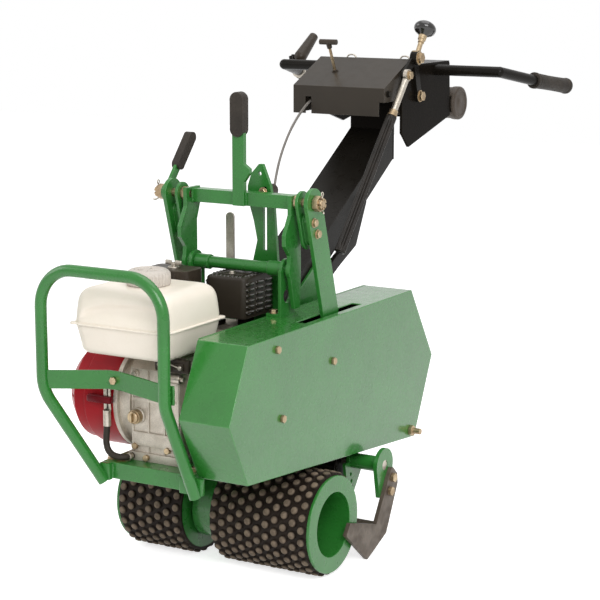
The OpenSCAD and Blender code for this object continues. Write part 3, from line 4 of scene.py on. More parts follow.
import bmesh
import bpy
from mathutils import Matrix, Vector


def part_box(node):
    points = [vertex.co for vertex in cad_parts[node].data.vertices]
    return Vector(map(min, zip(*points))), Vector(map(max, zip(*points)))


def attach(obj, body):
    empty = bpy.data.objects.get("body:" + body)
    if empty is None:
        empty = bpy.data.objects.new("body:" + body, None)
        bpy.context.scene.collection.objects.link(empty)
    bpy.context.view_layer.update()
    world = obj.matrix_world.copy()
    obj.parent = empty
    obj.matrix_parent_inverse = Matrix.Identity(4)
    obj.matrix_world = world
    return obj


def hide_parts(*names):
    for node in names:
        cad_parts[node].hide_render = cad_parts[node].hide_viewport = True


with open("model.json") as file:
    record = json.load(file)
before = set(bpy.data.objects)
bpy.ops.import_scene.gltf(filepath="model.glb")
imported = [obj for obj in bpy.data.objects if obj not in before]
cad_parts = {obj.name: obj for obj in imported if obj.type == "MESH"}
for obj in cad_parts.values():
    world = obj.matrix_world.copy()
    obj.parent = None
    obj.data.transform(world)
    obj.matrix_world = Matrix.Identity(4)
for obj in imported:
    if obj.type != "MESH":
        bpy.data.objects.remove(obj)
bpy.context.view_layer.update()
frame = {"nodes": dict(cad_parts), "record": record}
nodes = frame["nodes"]
scene = bpy.context.scene
scene.view_settings.view_transform = "Standard"
print("frame loaded:", len(nodes), "nodes")

axleLow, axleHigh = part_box("wheel_axle")
axleY = (axleLow.y + axleHigh.y) / 2  # the drive axle is the machine's own zero
axleZ = (axleLow.z + axleHigh.z) / 2


def spot(x, y, z):  # millimetres from the axle line, the middle plane and the ground
    return Vector((x / 1000, axleY + y / 1000, z / 1000))


# camera at the photograph's angle
shot = {"eye": (1810.89, -2824.71, 1142.70), "pitch": 79.12, "turn": 30.59, "lens": 110.31}
camData = bpy.data.cameras.new("shotCamera")
camData.lens = shot["lens"]
camData.sensor_width = 36
camData.clip_end = 60
cam = bpy.data.objects.new("shotCamera", camData)
scene.collection.objects.link(cam)
cam.location = spot(*shot["eye"])
cam.rotation_euler = (math.radians(shot["pitch"]), 0, math.radians(shot["turn"]))
scene.camera = cam
print("camera set")


# shader helpers
def makeGroup(name, inputs, outputs):
    group = bpy.data.node_groups.new(name, "ShaderNodeTree")
    for label, kind, value in inputs:
        socket = group.interface.new_socket(name=label, in_out="INPUT", socket_type="NodeSocket" + kind)
        socket.default_value = value
    for label, kind in outputs:
        group.interface.new_socket(name=label, in_out="OUTPUT", socket_type="NodeSocket" + kind)
    start = group.nodes.new("NodeGroupInput")
    end = group.nodes.new("NodeGroupOutput")
    return group, start, end


def addNode(tree, kind, values=None, **props):
    node = tree.nodes.new("ShaderNode" + kind)
    for key, value in props.items():
        setattr(node, key, value)
    for key, value in (values or {}).items():
        node.inputs[key].default_value = value
    return node


def wire(tree, *pairs):
    for source, target in pairs:
        tree.links.new(source, target)


def noiseMask(tree, coord, scale, low, high, detail=3.0):  # noise squeezed between two levels
    noise = addNode(tree, "TexNoise", {"Detail": detail})
    if isinstance(scale, (int, float)):
        noise.inputs["Scale"].default_value = scale
    else:
        wire(tree, (scale, noise.inputs["Scale"]))
    ramp = addNode(tree, "MapRange", {"From Min": 0.35, "From Max": 0.65, "To Min": low, "To Max": high})
    wire(tree, (coord, noise.inputs["Vector"]), (noise.outputs["Fac"], ramp.inputs["Value"]))
    return ramp.outputs["Result"]


def mixColor(tree, factor, first, second, blend="MIX"):
    mix = addNode(tree, "Mix", data_type="RGBA", blend_type=blend)
    for value, socket in ((factor, mix.inputs[0]), (first, mix.inputs[6]), (second, mix.inputs[7])):
        if hasattr(value, "links"):
            wire(tree, (value, socket))
        else:
            socket.default_value = value
    return mix.outputs[2]


def maths(tree, operation, first, second=0.0):
    node = addNode(tree, "Math", operation=operation)
    for value, socket in ((first, node.inputs[0]), (second, node.inputs[1])):
        if hasattr(value, "links"):
            wire(tree, (value, socket))
        else:
            socket.default_value = value
    return node.outputs[0]


# sprayed paint: cloudy tone, orange peel, eased edges lightened as rub wear and painted highlight, and a little
# settled dust
def makePaintSkin():
    group, start, end = makeGroup("paintSkin", [
        ("Paint", "Color", (0.1, 0.1, 0.1, 1)), ("Rubbed Highlight", "Color", (0.3, 0.3, 0.3, 1)),
        ("Dust", "Color", (0.3, 0.28, 0.24, 1)), ("Dust Amount", "Float", 0.1),
        ("Smooth", "Float", 0.25), ("Rub Highlight Amount", "Float", 0.5),
    ], [("Color", "Color"), ("Roughness", "Float"), ("Height", "Float")])
    coord = addNode(group, "TexCoord")
    place = coord.outputs["Object"]
    cloud = noiseMask(group, place, 9.0, 0.90, 1.08)
    tone = addNode(group, "HueSaturation")
    wire(group, (start.outputs["Paint"], tone.inputs["Color"]), (cloud, tone.inputs["Value"]))
    # eased edges take the lighter Rubbed colour: rub wear and painted highlight
    rubAndHighlight = addNode(group, "Attribute", attribute_name="rubAndHighlight")
    patches = noiseMask(group, place, 38.0, 0.15, 1.0)
    rubbedHighlight = maths(group, "MULTIPLY", maths(group, "MULTIPLY", rubAndHighlight.outputs["Fac"], patches),
                   start.outputs["Rub Highlight Amount"])
    wornAndLit = mixColor(group, rubbedHighlight, tone.outputs["Color"], start.outputs["Rubbed Highlight"])
    upward = addNode(group, "SeparateXYZ")
    wire(group, (coord.outputs["Normal"], upward.inputs["Vector"]))
    settle = addNode(group, "MapRange", {"From Min": 0.55, "From Max": 1.0, "To Min": 0.0, "To Max": 1.0})
    wire(group, (upward.outputs["Z"], settle.inputs["Value"]))
    drift = noiseMask(group, place, 14.0, 0.3, 1.0)
    dust = maths(group, "MULTIPLY", maths(group, "MULTIPLY", settle.outputs["Result"], drift),
                 start.outputs["Dust Amount"])
    dusty = mixColor(group, dust, wornAndLit, start.outputs["Dust"])
    haze = noiseMask(group, place, 55.0, -0.03, 0.05)
    rough = maths(group, "ADD", maths(group, "ADD", start.outputs["Smooth"], haze),
                  maths(group, "MULTIPLY", dust, 0.5))
    peel = noiseMask(group, place, 420.0, 0.0, 1.0, 1.0)
    wire(group, (dusty, end.inputs["Color"]), (rough, end.inputs["Roughness"]), (peel, end.inputs["Height"]))
    return group


# moulded rubber or plastic: fine pebble, handling shine and grey bloom, with more bloom on eased edges as rub wear
# and painted highlight
def makeMouldSkin():
    group, start, end = makeGroup("mouldSkin", [
        ("Base", "Color", (0.05, 0.05, 0.05, 1)), ("Bloom", "Color", (0.12, 0.11, 0.10, 1)),
        ("Bloom Amount", "Float", 0.4), ("Matt", "Float", 0.55), ("Pebble Scale", "Float", 700.0),
    ], [("Color", "Color"), ("Roughness", "Float"), ("Height", "Float")])
    coord = addNode(group, "TexCoord")
    place = coord.outputs["Object"]
    patch = noiseMask(group, place, 26.0, 0.0, 1.0)
    speck = noiseMask(group, place, 210.0, 0.35, 1.0)
    bloom = maths(group, "MULTIPLY", maths(group, "MULTIPLY", patch, speck), start.outputs["Bloom Amount"])
    # eased edges get extra bloom: rub wear and painted highlight
    rubAndHighlight = addNode(group, "Attribute", attribute_name="rubAndHighlight")
    bloom = maths(group, "ADD", bloom, maths(group, "MULTIPLY", rubAndHighlight.outputs["Fac"], 0.25))
    color = mixColor(group, bloom, start.outputs["Base"], start.outputs["Bloom"])
    rough = maths(group, "ADD", start.outputs["Matt"], noiseMask(group, place, 60.0, -0.06, 0.06))
    pebble = noiseMask(group, place, start.outputs["Pebble Scale"], 0.0, 1.0, 2.0)
    wire(group, (color, end.inputs["Color"]), (rough, end.inputs["Roughness"]), (pebble, end.inputs["Height"]))
    return group


# bare or plated metal: streaks along one axis, stain and fine pits
def makeMetalSkin():
    group, start, end = makeGroup("metalSkin", [
        ("Metal", "Color", (0.6, 0.58, 0.55, 1)), ("Stain", "Color", (0.25, 0.2, 0.15, 1)),
        ("Stain Amount", "Float", 0.3), ("Polish", "Float", 0.3), ("Stretch", "Vector", (1.0, 1.0, 1.0)),
        ("Grain Scale", "Float", 300.0),
    ], [("Color", "Color"), ("Roughness", "Float"), ("Height", "Float")])
    coord = addNode(group, "TexCoord")
    mapping = addNode(group, "Mapping")
    wire(group, (coord.outputs["Object"], mapping.inputs["Vector"]),
         (start.outputs["Stretch"], mapping.inputs["Scale"]))
    grain = noiseMask(group, mapping.outputs["Vector"], start.outputs["Grain Scale"], 0.0, 1.0, 2.0)
    stain = maths(group, "MULTIPLY", noiseMask(group, coord.outputs["Object"], 42.0, 0.0, 1.0),
                  start.outputs["Stain Amount"])
    stained = mixColor(group, stain, start.outputs["Metal"], start.outputs["Stain"])
    shade = addNode(group, "HueSaturation")
    lift = addNode(group, "MapRange", {"To Min": 0.88, "To Max": 1.10})
    wire(group, (grain, lift.inputs["Value"]), (stained, shade.inputs["Color"]),
         (lift.outputs["Result"], shade.inputs["Value"]))
    rough = maths(group, "ADD", start.outputs["Polish"],
                  maths(group, "ADD", maths(group, "MULTIPLY", stain, 0.35), maths(group, "MULTIPLY", grain, 0.08)))
    wire(group, (shade.outputs["Color"], end.inputs["Color"]), (rough, end.inputs["Roughness"]),
         (grain, end.inputs["Height"]))
    return group


paintSkin = makePaintSkin()
mouldSkin = makeMouldSkin()
metalSkin = makeMetalSkin()
print("surface groups built")


def freshMaterial(name):
    material = bpy.data.materials.new(name)
    material.use_nodes = True
    tree = material.node_tree
    tree.nodes.clear()
    return material, tree, addNode(tree, "OutputMaterial")


def placeGroup(tree, group, values):
    effect = addNode(tree, "Group")
    effect.node_tree = group
    for key, value in values.items():
        effect.inputs[key].default_value = value
    return effect


def wireSkin(tree, color, effect, ripple, skin, out):
    wire(tree, (color, skin.inputs["Base Color"]), (effect.outputs["Roughness"], skin.inputs["Roughness"]),
         (effect.outputs["Height"], ripple.inputs["Height"]), (ripple.outputs["Normal"], skin.inputs["Normal"]),
         (skin.outputs["BSDF"], out.inputs["Surface"]))


def finishFrom(name, group, values, shader, bump):  # a material: one group, one shader, one bump
    material, tree, out = freshMaterial(name)
    skin = addNode(tree, "BsdfPrincipled", shader)
    effect = placeGroup(tree, group, values)
    ripple = addNode(tree, "Bump", {"Strength": bump[0], "Distance": bump[1]})
    wireSkin(tree, effect.outputs["Color"], effect, ripple, skin, out)
    return material


# rubbed: the lighter colour of eased edges, rub wear and painted highlight
def paint(name, color, rubbedHighlight, smooth=0.22, shine=0.5, coat=0.0, dust=0.05, rubAndHighlight=0.5, peel=0.04):
    return finishFrom(name, paintSkin, {
        "Paint": (*color, 1), "Rubbed Highlight": (*rubbedHighlight, 1), "Dust Amount": dust, "Smooth": smooth, "Rub Highlight Amount": rubAndHighlight,
    }, {"Specular IOR Level": shine, "Coat Weight": coat, "Coat Roughness": 0.06}, (peel, 0.0004))


def mould(name, color, bloom, matt=0.5, amount=0.4, pebble=700.0, bump=0.12, shine=0.4):
    return finishFrom(name, mouldSkin, {
        "Base": (*color, 1), "Bloom": (*bloom, 1), "Bloom Amount": amount, "Matt": matt, "Pebble Scale": pebble,
    }, {"Specular IOR Level": shine}, (bump, 0.0004))


def metal(name, color, stain, polish=0.3, amount=0.25, stretch=(1, 1, 1), grain=300.0, metallic=1.0, bump=0.08):
    return finishFrom(name, metalSkin, {
        "Metal": (*color, 1), "Stain": (*stain, 1), "Stain Amount": amount, "Polish": polish, "Stretch": stretch,
        "Grain Scale": grain,
    }, {"Metallic": metallic}, (bump, 0.0005))


# the second colour of each paint is its eased-edge colour: rub wear and painted highlight
finishes = {
    "green_paint": paint("greenEnamel", (0.022, 0.168, 0.024), (0.085, 0.30, 0.085), 0.28, 0.40, 0.22, 0.02, 0.5),
    "cover_enamel": paint("coverEnamel", (0.022, 0.168, 0.022), (0.085, 0.30, 0.085), 0.26, 0.45, 0.50, 0.02, 0.45,
                          0.003),
    "black_paint": paint("blackEnamel", (0.0080, 0.0066, 0.0050), (0.042, 0.036, 0.030), 0.28, 0.11, 0.0, 0.02, 0.5),
    "black_plastic": mould("blackMoulding", (0.030, 0.0225, 0.0160), (0.085, 0.064, 0.046), 0.40, 0.35, 700.0, 0.12,
                           0.22),
    "black_rubber": mould("blackRubber", (0.024, 0.0195, 0.0155), (0.066, 0.053, 0.042), 0.55, 0.5, 900.0, 0.2, 0.22),
    "steel": metal("plainSteel", (0.50, 0.46, 0.40), (0.22, 0.18, 0.13), 0.32, 0.35, (1, 1, 1), 260.0),
    "yellow_zinc": metal("yellowZinc", (0.46, 0.36, 0.23), (0.22, 0.14, 0.08), 0.30, 0.5, (1, 1, 1), 320.0),
    "cast_aluminium": metal("sandCastAlloy", (0.60, 0.55, 0.48), (0.34, 0.29, 0.23), 0.50, 0.35, (1, 1, 1), 520.0,
                            0.75, 0.25),
    "red_paint": paint("redEnamel", (0.33, 0.002, 0.008), (0.50, 0.05, 0.05), 0.34, 0.14, 0.0, 0.03, 0.5),
    "cream_plastic": mould("creamTank", (0.86, 0.785, 0.685), (0.79, 0.71, 0.60), 0.34, 0.35, 500.0, 0.06),
    "grey_plastic": mould("greyCap", (0.52, 0.47, 0.42), (0.62, 0.57, 0.51), 0.40, 0.5, 600.0, 0.1),
    "console_sheet": paint("consoleSheet", (0.030, 0.0235, 0.0170), (0.09, 0.075, 0.06), 0.34, 0.25, 0.0, 0.02, 0.4),
    "cable_sheath": mould("cableSheath", (0.16, 0.145, 0.13), (0.24, 0.22, 0.20), 0.45, 0.3, 400.0, 0.05, 0.3),
    "guard_sheet": paint("guardSheet", (0.026, 0.0205, 0.0145), (0.11, 0.09, 0.07), 0.42, 0.22, 0.0, 0.03, 0.6),
    "tube_shell": mould("tubeShell", (0.058, 0.044, 0.033), (0.11, 0.085, 0.064), 0.44, 0.35, 600.0, 0.12, 0.25),
    "switch_red": paint("switchRed", (0.115, 0.0015, 0.006), (0.25, 0.03, 0.03), 0.30, 0.15, 0.0, 0.02, 0.4),
    "head_black": paint("headBlack", (0.0085, 0.0068, 0.0052), (0.05, 0.042, 0.034), 0.24, 0.02, 0.0, 0.02, 0.4),
    "knob_gloss": paint("knobGloss", (0.0075, 0.0062, 0.0050), (0.03, 0.026, 0.022), 0.12, 0.45, 0.5, 0.0, 0.2, 0.02),
    "louvre_gloss": paint("louvreGloss", (0.026, 0.0205, 0.0148), (0.16, 0.13, 0.10), 0.20, 0.45, 0.3, 0.02, 0.8),
    "sleeve_rubber": mould("sleeveRubber", (0.0125, 0.0100, 0.0080), (0.040, 0.032, 0.026), 0.38, 0.4, 900.0, 0.1,
                           0.22),
    "dark_steel": metal("bladeSteel", (0.120, 0.094, 0.072), (0.05, 0.035, 0.026), 0.42, 0.5, (1, 1, 1), 180.0, 0.45,
                        0.12),
}


# tread rubber: painted shade between the knobs, lighter brown-grey on their tops as scuff wear and painted highlight
tread = {
    # deep is painted shade between the knobs; top is scuff wear with painted highlight
    "deep": (0.010, 0.0062, 0.0042), "bloom": (0.05, 0.036, 0.026), "top": (0.205, 0.156, 0.112),
    "low": 0.0946, "high": 0.0975, "matt": 0.62, "pebble": 850.0, "scuff": 120.0, "bump": (0.25, 0.0006),
}


def makeTreadRubber():
    material, tree, out = freshMaterial("knobRubber")
    skin = addNode(tree, "BsdfPrincipled", {"Specular IOR Level": 0.16})
    coord = addNode(tree, "TexCoord")
    shift = addNode(tree, "VectorMath", {1: (0, axleY, axleZ)}, operation="SUBTRACT")
    flat = addNode(tree, "VectorMath", {1: (0, 1, 1)}, operation="MULTIPLY")
    reach = addNode(tree, "VectorMath", operation="LENGTH")
    wire(tree, (coord.outputs["Object"], shift.inputs[0]), (shift.outputs[0], flat.inputs[0]),
         (flat.outputs[0], reach.inputs[0]))
    # by distance from the axle: knob tops fade to the top colour (scuff wear and painted highlight), lower down stays
    # the painted shade colour
    band = addNode(tree, "MapRange", {"From Min": tread["low"], "From Max": tread["high"]})
    wire(tree, (reach.outputs["Value"], band.inputs["Value"]))
    deep = placeGroup(tree, mouldSkin, {
        "Base": (*tread["deep"], 1), "Bloom": (*tread["bloom"], 1), "Matt": tread["matt"],
        "Pebble Scale": tread["pebble"],
    })
    scuff = noiseMask(tree, coord.outputs["Object"], tread["scuff"], 0.55, 1.0)
    wornAndLit = maths(tree, "MULTIPLY", band.outputs["Result"], scuff)
    top = mixColor(tree, wornAndLit, deep.outputs["Color"], (*tread["top"], 1))
    ripple = addNode(tree, "Bump", {"Strength": tread["bump"][0], "Distance": tread["bump"][1]})
    wireSkin(tree, top, deep, ripple, skin, out)
    return material


finishes["tread_rubber"] = makeTreadRubber()
slotOf = {entry["node"]: entry["material_slot"] for entry in frame["record"]["subparts"]}
bodyOf = {node: body for body, members in frame["record"]["behaviour"]["bodies"].items() for node in members}
for name, node in nodes.items():
    node.data.materials.clear()
    node.data.materials.append(finishes[slotOf[name]])
print("finishes on", len(nodes), "nodes")


xAxis, yAxis, zAxis = Vector((1, 0, 0)), Vector((0, 1, 0)), Vector((0, 0, 1))


# mesh helpers
def putPiece(name, mesh, slot, body, stands=(), smooth=40.0, finish=None):
    mesh.shade_smooth()
    mesh.set_sharp_from_angle(angle=math.radians(smooth))
    mesh.materials.clear()
    mesh.materials.append(finishes[finish or slot])
    piece = bpy.data.objects.new(name, mesh)
    scene.collection.objects.link(piece)
    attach(piece, body)
    if stands:
        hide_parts(*stands)
    return piece


def meshFrom(name, points, faces):
    mesh = bpy.data.meshes.new(name)
    mesh.from_pydata([tuple(p) for p in points], [], faces)
    mesh.update()
    return mesh


def ringsToFaces(count, sides, capped=True):  # quads between rings of points, with the ends closed
    faces = []
    for i in range(count - 1):
        for k in range(sides):
            a = i * sides + k
            b = i * sides + (k + 1) % sides
            faces.append((a, b, b + sides, a + sides))
    if capped:
        faces.append(tuple(reversed(range(sides))))
        faces.append(tuple(range((count - 1) * sides, count * sides)))
    return faces


def frameAlong(direction):  # two directions square to a line
    along = direction.normalized()
    side = along.cross(zAxis)
    if side.length < 1e-3:
        side = along.cross(xAxis)
    side.normalize()
    return side, along.cross(side).normalized()


def turnedAlong(start, direction, profile, sides=48, ripple=None):  # a turned piece: (distance, radius) along a line
    along = direction.normalized()
    side, lift = frameAlong(along)
    points = []
    for distance, radius in profile:
        for k in range(sides):
            angle = 2 * math.pi * k / sides
            reach = radius + (ripple(k, distance, radius) if ripple else 0)
            points.append(start + along * distance + (side * math.cos(angle) + lift * math.sin(angle)) * reach)
    return points, ringsToFaces(len(profile), sides)


def joined(parts):  # several point and face lists as one
    points, faces = [], []
    for partPoints, partFaces in parts:
        base = len(points)
        points += list(partPoints)
        faces += [tuple(i + base for i in face) for face in partFaces]
    return points, faces


def addParts(name, parts, slot, body, stands=(), smooth=40.0, finish=None):
    return putPiece(name, meshFrom(name, *joined(parts)), slot, body, stands, smooth, finish)


def inMetres(profile):
    return [(distance / 1000, radius / 1000) for distance, radius in profile]


def headingAt(line, i):
    return (line[min(i + 1, len(line) - 1)] - line[max(i - 1, 0)]).normalized()


def softened(name, width, segments=2, angle=28.0):  # the node's own shape with its edges eased
    bm = bmesh.new()
    bm.from_mesh(nodes[name].data)
    bmesh.ops.remove_doubles(bm, verts=bm.verts, dist=3e-6)
    bmesh.ops.dissolve_limit(bm, angle_limit=math.radians(0.5), verts=bm.verts, edges=bm.edges)
    # bevel faces are marked for the lighter edge colour: rub wear and painted highlight
    rubAndHighlight = bm.loops.layers.float.new("rubAndHighlight")
    sharp = [e for e in bm.edges if len(e.link_faces) == 2 and e.calc_face_angle(0.0) > math.radians(angle)]
    made = bmesh.ops.bevel(bm, geom=sharp, offset=width, offset_type="OFFSET", segments=segments, profile=0.5,
                           affect="EDGES", clamp_overlap=True)
    for face in made["faces"]:
        for loop in face.loops:
            loop[rubAndHighlight] = 1.0
    bmesh.ops.triangulate(bm, faces=[f for f in bm.faces if len(f.verts) > 4])
    mesh = bpy.data.meshes.new(name + "Eased")
    bm.to_mesh(mesh)
    bm.free()
    piece = putPiece(name + "Eased", mesh, slotOf[name], bodyOf[name], (name,), 50.0)
    weigh = piece.modifiers.new("evenShade", "WEIGHTED_NORMAL")
    weigh.weight = 90
    weigh.keep_sharp = True
    return piece


# folded sheet, plate and cast edges: width of the eased edge in millimetres
easedEdges = {
    "belt_cover": 1.6, "right_side_plate": 0.8, "left_side_plate": 0.8, "engine_deck": 1.4, "column_seat": 0.8,
    "tube_brackets": 0.8, "quadrant_plate": 0.9, "rocker_frame": 0.9, "lift_links": 0.9, "lock_lever": 0.8,
    "blade_hangers": 0.8, "cutting_blade": 0.9, "handle_column": 1.2, "handle_head": 0.9, "console_box": 1.0,
    "air_cleaner": 2.5, "crankcase": 2.4, "cylinder_block": 0.5, "chain_case": 1.0,
    "frame_bolts": 0.8, "pivot_bolts": 0.9, "blade_bolts": 0.6, "engine_bolts": 0.9, "gear_lever": 0.7,
    "clutch_lever": 0.7, "fan_cover": 1.4, "starter_cover": 1.0, "left_drum": 1.2, "right_drum": 1.2,
    "lift_grip": 2.6, "lock_grip": 2.4, "latch_knob": 1.6, "starter_grip": 1.6, "throttle_knob": 1.0,
    "document_tube": 1.6, "eccentric_case": 1.6, "clutch_rod": 0.8,
}
# a shade apart from their slot, and a second finish below a height
ownTone = {
    "belt_cover": "cover_enamel", "console_box": "console_sheet", "document_tube": "tube_shell",
    "handle_head": "head_black",
}
lowerTone = {"clutch_lever": ("black_paint", 0.936), "throttle_knob": ("yellow_zinc", 0.940)}
for name, width in easedEdges.items():
    piece = softened(name, width / 1000)
    if name in ownTone:
        piece.data.materials[0] = finishes[ownTone[name]]
    if name in lowerTone:
        finish, height = lowerTone[name]
        piece.data.materials.append(finishes[finish])
        for face in piece.data.polygons:
            if face.center.z < height:
                face.material_index = 1
print("edges eased on", len(easedEdges), "nodes")


# fuel tank: two lofted shells that meet at a seam lip, with a soft shoulder pressed into the front
fuelTank = {
    "middle": (-62.5, -189), "half": (103.5, 94), "seam": 487.5,
    "rings": [  # height, inset, corner radius
        (432.5, 26, 16), (432.8, 21, 18), (433.8, 16.6, 19.5), (435.6, 13.2, 21), (438.2, 10.6, 22.5),
        (441.8, 8.8, 23.5), (446.5, 7.6, 24.5), (453, 6.6, 25), (460, 5.4, 25.5), (468, 3.8, 26),
        (476, 2.3, 26), (483.5, 1.0, 26), (485.6, 0.7, 26), (485.9, -2.4, 28), (486.6, -3.2, 29),
        (488.4, -3.2, 29), (489.1, -2.4, 28), (489.4, 0.6, 26), (491, 0.6, 26), (494, 0.8, 26),
        (497, 1.0, 26), (500, 1.2, 26), (503, 1.4, 26), (506, 1.6, 26), (509, 1.9, 26), (512, 2.1, 26),
        (515, 2.4, 26), (518, 2.7, 26), (521, 3.0, 26), (524, 3.4, 26), (527, 3.8, 26), (530, 4.3, 26),
        (533, 5.0, 26), (536, 6.0, 26), (539, 7.4, 25), (542, 9.4, 24), (545, 12.2, 22.5), (547.5, 15.6, 21),
        (549.5, 19.8, 19), (550.9, 25, 17), (551.7, 31, 15), (551.9, 40, 12), (552.0, 58, 8),
    ],
    "dent": 8.0,
    "dentLine": [(-164, 470), (-154, 489), (-146, 504), (-134, 516), (-116, 525), (-88, 531), (-40, 534), (14, 535)],
    "ears": ((-159, -275), (34, -103), (-159, -103)), "earZ": 485.6,
    "ear": [(0, 0.0092), (0.0006, 0.010), (0.0032, 0.010), (0.0038, 0.0092)],
    "neckAt": (-60, -190, 548), "neck": [(0, 0.047), (0.0022, 0.0455), (0.0036, 0.042), (0.0040, 0.036)],
}


def roundedLoop(half, radius, perCorner=10, perSide=26):  # outline of a rounded rectangle, always the same count
    hx, hy = half
    radius = min(radius, hx - 0.5, hy - 0.5)
    corners = [(hx - radius, hy - radius, 0), (-hx + radius, hy - radius, 90), (-hx + radius, -hy + radius, 180),
               (hx - radius, -hy + radius, 270)]
    arcs = []
    for cx, cy, turn in corners:
        angles = [math.radians(turn + 90 * k / perCorner) for k in range(perCorner + 1)]
        arcs.append([(cx + radius * math.cos(a), cy + radius * math.sin(a)) for a in angles])
    loop = []
    for i, arc in enumerate(arcs):
        loop += arc
        ahead = arcs[(i + 1) % 4][0]
        for k in range(1, perSide):
            t = k / perSide
            loop.append((arc[-1][0] * (1 - t) + ahead[0] * t, arc[-1][1] * (1 - t) + ahead[1] * t))
    return loop


def smoothStep(low, high, value):
    t = min(1.0, max(0.0, (value - low) / (high - low)))
    return t * t * (3 - 2 * t)


def lineHeight(line, x):
    if x <= line[0][0]:
        return line[0][1]
    for (x0, z0), (x1, z1) in zip(line, line[1:]):
        if x <= x1:
            return z0 + (z1 - z0) * (x - x0) / (x1 - x0)
    return line[-1][1]


def makeFuelTank():
    mx, my = fuelTank["middle"]
    points, count = [], 0
    for z, inset, radius in fuelTank["rings"]:
        loop = roundedLoop((fuelTank["half"][0] - inset, fuelTank["half"][1] - inset), radius)
        count = len(loop)
        for px, py in loop:
            x, y = mx + px, my + py
            if z > fuelTank["seam"] + 2 and py < -fuelTank["half"][1] + inset + 14:
                facing = smoothStep(-62, -88, py)
                depth = fuelTank["dent"] * facing * smoothStep(0, 13, lineHeight(fuelTank["dentLine"], x) - z)
                y += depth * smoothStep(fuelTank["seam"] + 2, fuelTank["seam"] + 26, z)
            points.append(spot(x, y, z))
    shell = (points, ringsToFaces(len(fuelTank["rings"]), count))
    ears = [turnedAlong(spot(x, y, fuelTank["earZ"]), zAxis, fuelTank["ear"], 28) for x, y in fuelTank["ears"]]
    neck = turnedAlong(spot(*fuelTank["neckAt"]), zAxis, fuelTank["neck"], 64)
    addParts("fuelTankShell", [shell, *ears, neck], "cream_plastic", "chassis", ("fuel_tank",), 42.0)


makeFuelTank()

# fuel cap: ribbed skirt, rolled shoulder and a dished top with a cross rib
fuelCap = {
    "place": (-60, -190, 552.3), "radius": 38.2, "rib": 1.9, "ribs": 30, "height": 28.0, "turn": 0.35,
    "bar": [(0, 0.0006), (0.0015, 0.0017), (0.020, 0.0019), (0.0385, 0.0017), (0.040, 0.0006)],
}


def makeFuelCap():
    sides = fuelCap["ribs"] * 6

    def ribWave(k, distance, radius):
        along = smoothStep(0.0, 0.002, distance) * (1 - smoothStep(0.020, 0.0245, distance))
        wave = 0.5 + 0.5 * math.cos(2 * math.pi * k / 6)
        return fuelCap["rib"] / 1000 * along * wave ** 0.7 if radius > 0.034 else 0.0

    r, h = fuelCap["radius"] / 1000, fuelCap["height"] / 1000
    profile = [(0, r - 0.001), (0.001, r), (0.004, r), (0.010, r), (0.016, r), (0.0205, r - 0.0003),
               (0.0235, r - 0.0012), (0.0258, r - 0.003), (0.0272, r - 0.0055), (h, r - 0.0085), (h, r - 0.012),
               (h - 0.0012, r - 0.0135), (h - 0.0024, r - 0.016), (h - 0.0026, 0.012), (h - 0.0014, 0.009),
               (h - 0.001, 0.002)]
    cap = turnedAlong(spot(*fuelCap["place"]), zAxis, profile, sides, ribWave)
    bars = []
    for turn in (fuelCap["turn"], fuelCap["turn"] + math.pi / 2):
        side = Vector((math.cos(turn), math.sin(turn), 0))
        start = spot(*fuelCap["place"]) + Vector((0, 0, h - 0.0022)) - side * 0.020
        bars.append(turnedAlong(start, side, fuelCap["bar"], 12))
    addParts("ribbedFuelCap", [cap, *bars], "grey_plastic", "cap", ("fuel_cap",), 35.0)


makeFuelCap()
print("tank and cap made")


# cords: each runs on one smooth line through the route of its solid
def smoothLine(route, steps):
    line = []
    for i in range(len(route) - 1):
        a, b, c, d = (Vector(route[j]) for j in (max(i - 1, 0), i, i + 1, min(i + 2, len(route) - 1)))
        for k in range(steps):
            t = k / steps
            bend = (2 * a - 5 * b + 4 * c - d) * t * t + (3 * b - a - 3 * c + d) * t ** 3
            line.append((2 * b + (c - a) * t + bend) / 2)
    return line + [Vector(route[-1])]


def tubeAlong(line, radius, sides=16):
    points = []
    lift = None
    for i, place in enumerate(line):
        ahead = headingAt(line, i)
        if lift is None:
            side, lift = frameAlong(ahead)
        side = ahead.cross(lift).normalized()
        lift = side.cross(ahead).normalized()
        for k in range(sides):
            angle = 2 * math.pi * k / sides
            points.append(place + (side * math.cos(angle) + lift * math.sin(angle)) * radius)
    return points, ringsToFaces(len(line), sides)


def lineLength(line):
    return sum((b - a).length for a, b in zip(line, line[1:]))


drainHose = {
    "radius": 0.006, "finish": "black_rubber",
    "route": [(-128, -229.5, 322), (-128, -229.5, 300), (-129, -230, 282), (-129, -232, 264), (-124, -234, 250),
              (-114, -235, 242), (-102, -233, 239), (-93, -227, 238), (-88, -218, 238), (-87, -210.3, 238)],
}
throttleCable = {
    "radius": 0.0025, "finish": "cable_sheath",
    "route": [(-69, 529.7, 845), (-69, 500, 845), (-69, 450, 844), (-69, 400, 837), (-70, 370, 822), (-68, 330, 796),
              (-60, 285, 765), (-46, 235, 727), (-26, 185, 683), (-6, 152, 638), (9, 132, 595), (17, 121, 556),
              (20, 118, 524), (20, 118, 508)],
}


def makeCord(name, cord, slot, node, steps):
    line = [spot(*p) for p in smoothLine(cord["route"], steps)]
    tube = tubeAlong(line, cord["radius"])
    piece = addParts(name, [tube], slot, "chassis", (node,), 60.0, cord["finish"])
    print(name, "length", round(lineLength(line), 3))
    return line


hoseLine = makeCord("drainHoseTube", drainHose, "black_rubber", "drain_hose", 6)
makeCord("throttleCableSheath", throttleCable, "steel", "throttle_cable", 6)


# pressed band at the top of the hose and a spring clip at the sump
hoseClip = {"lengths": (0.030, 0.008), "back": 0.012, "inner": 0.0062, "outer": 0.0071, "ease": 0.0004}


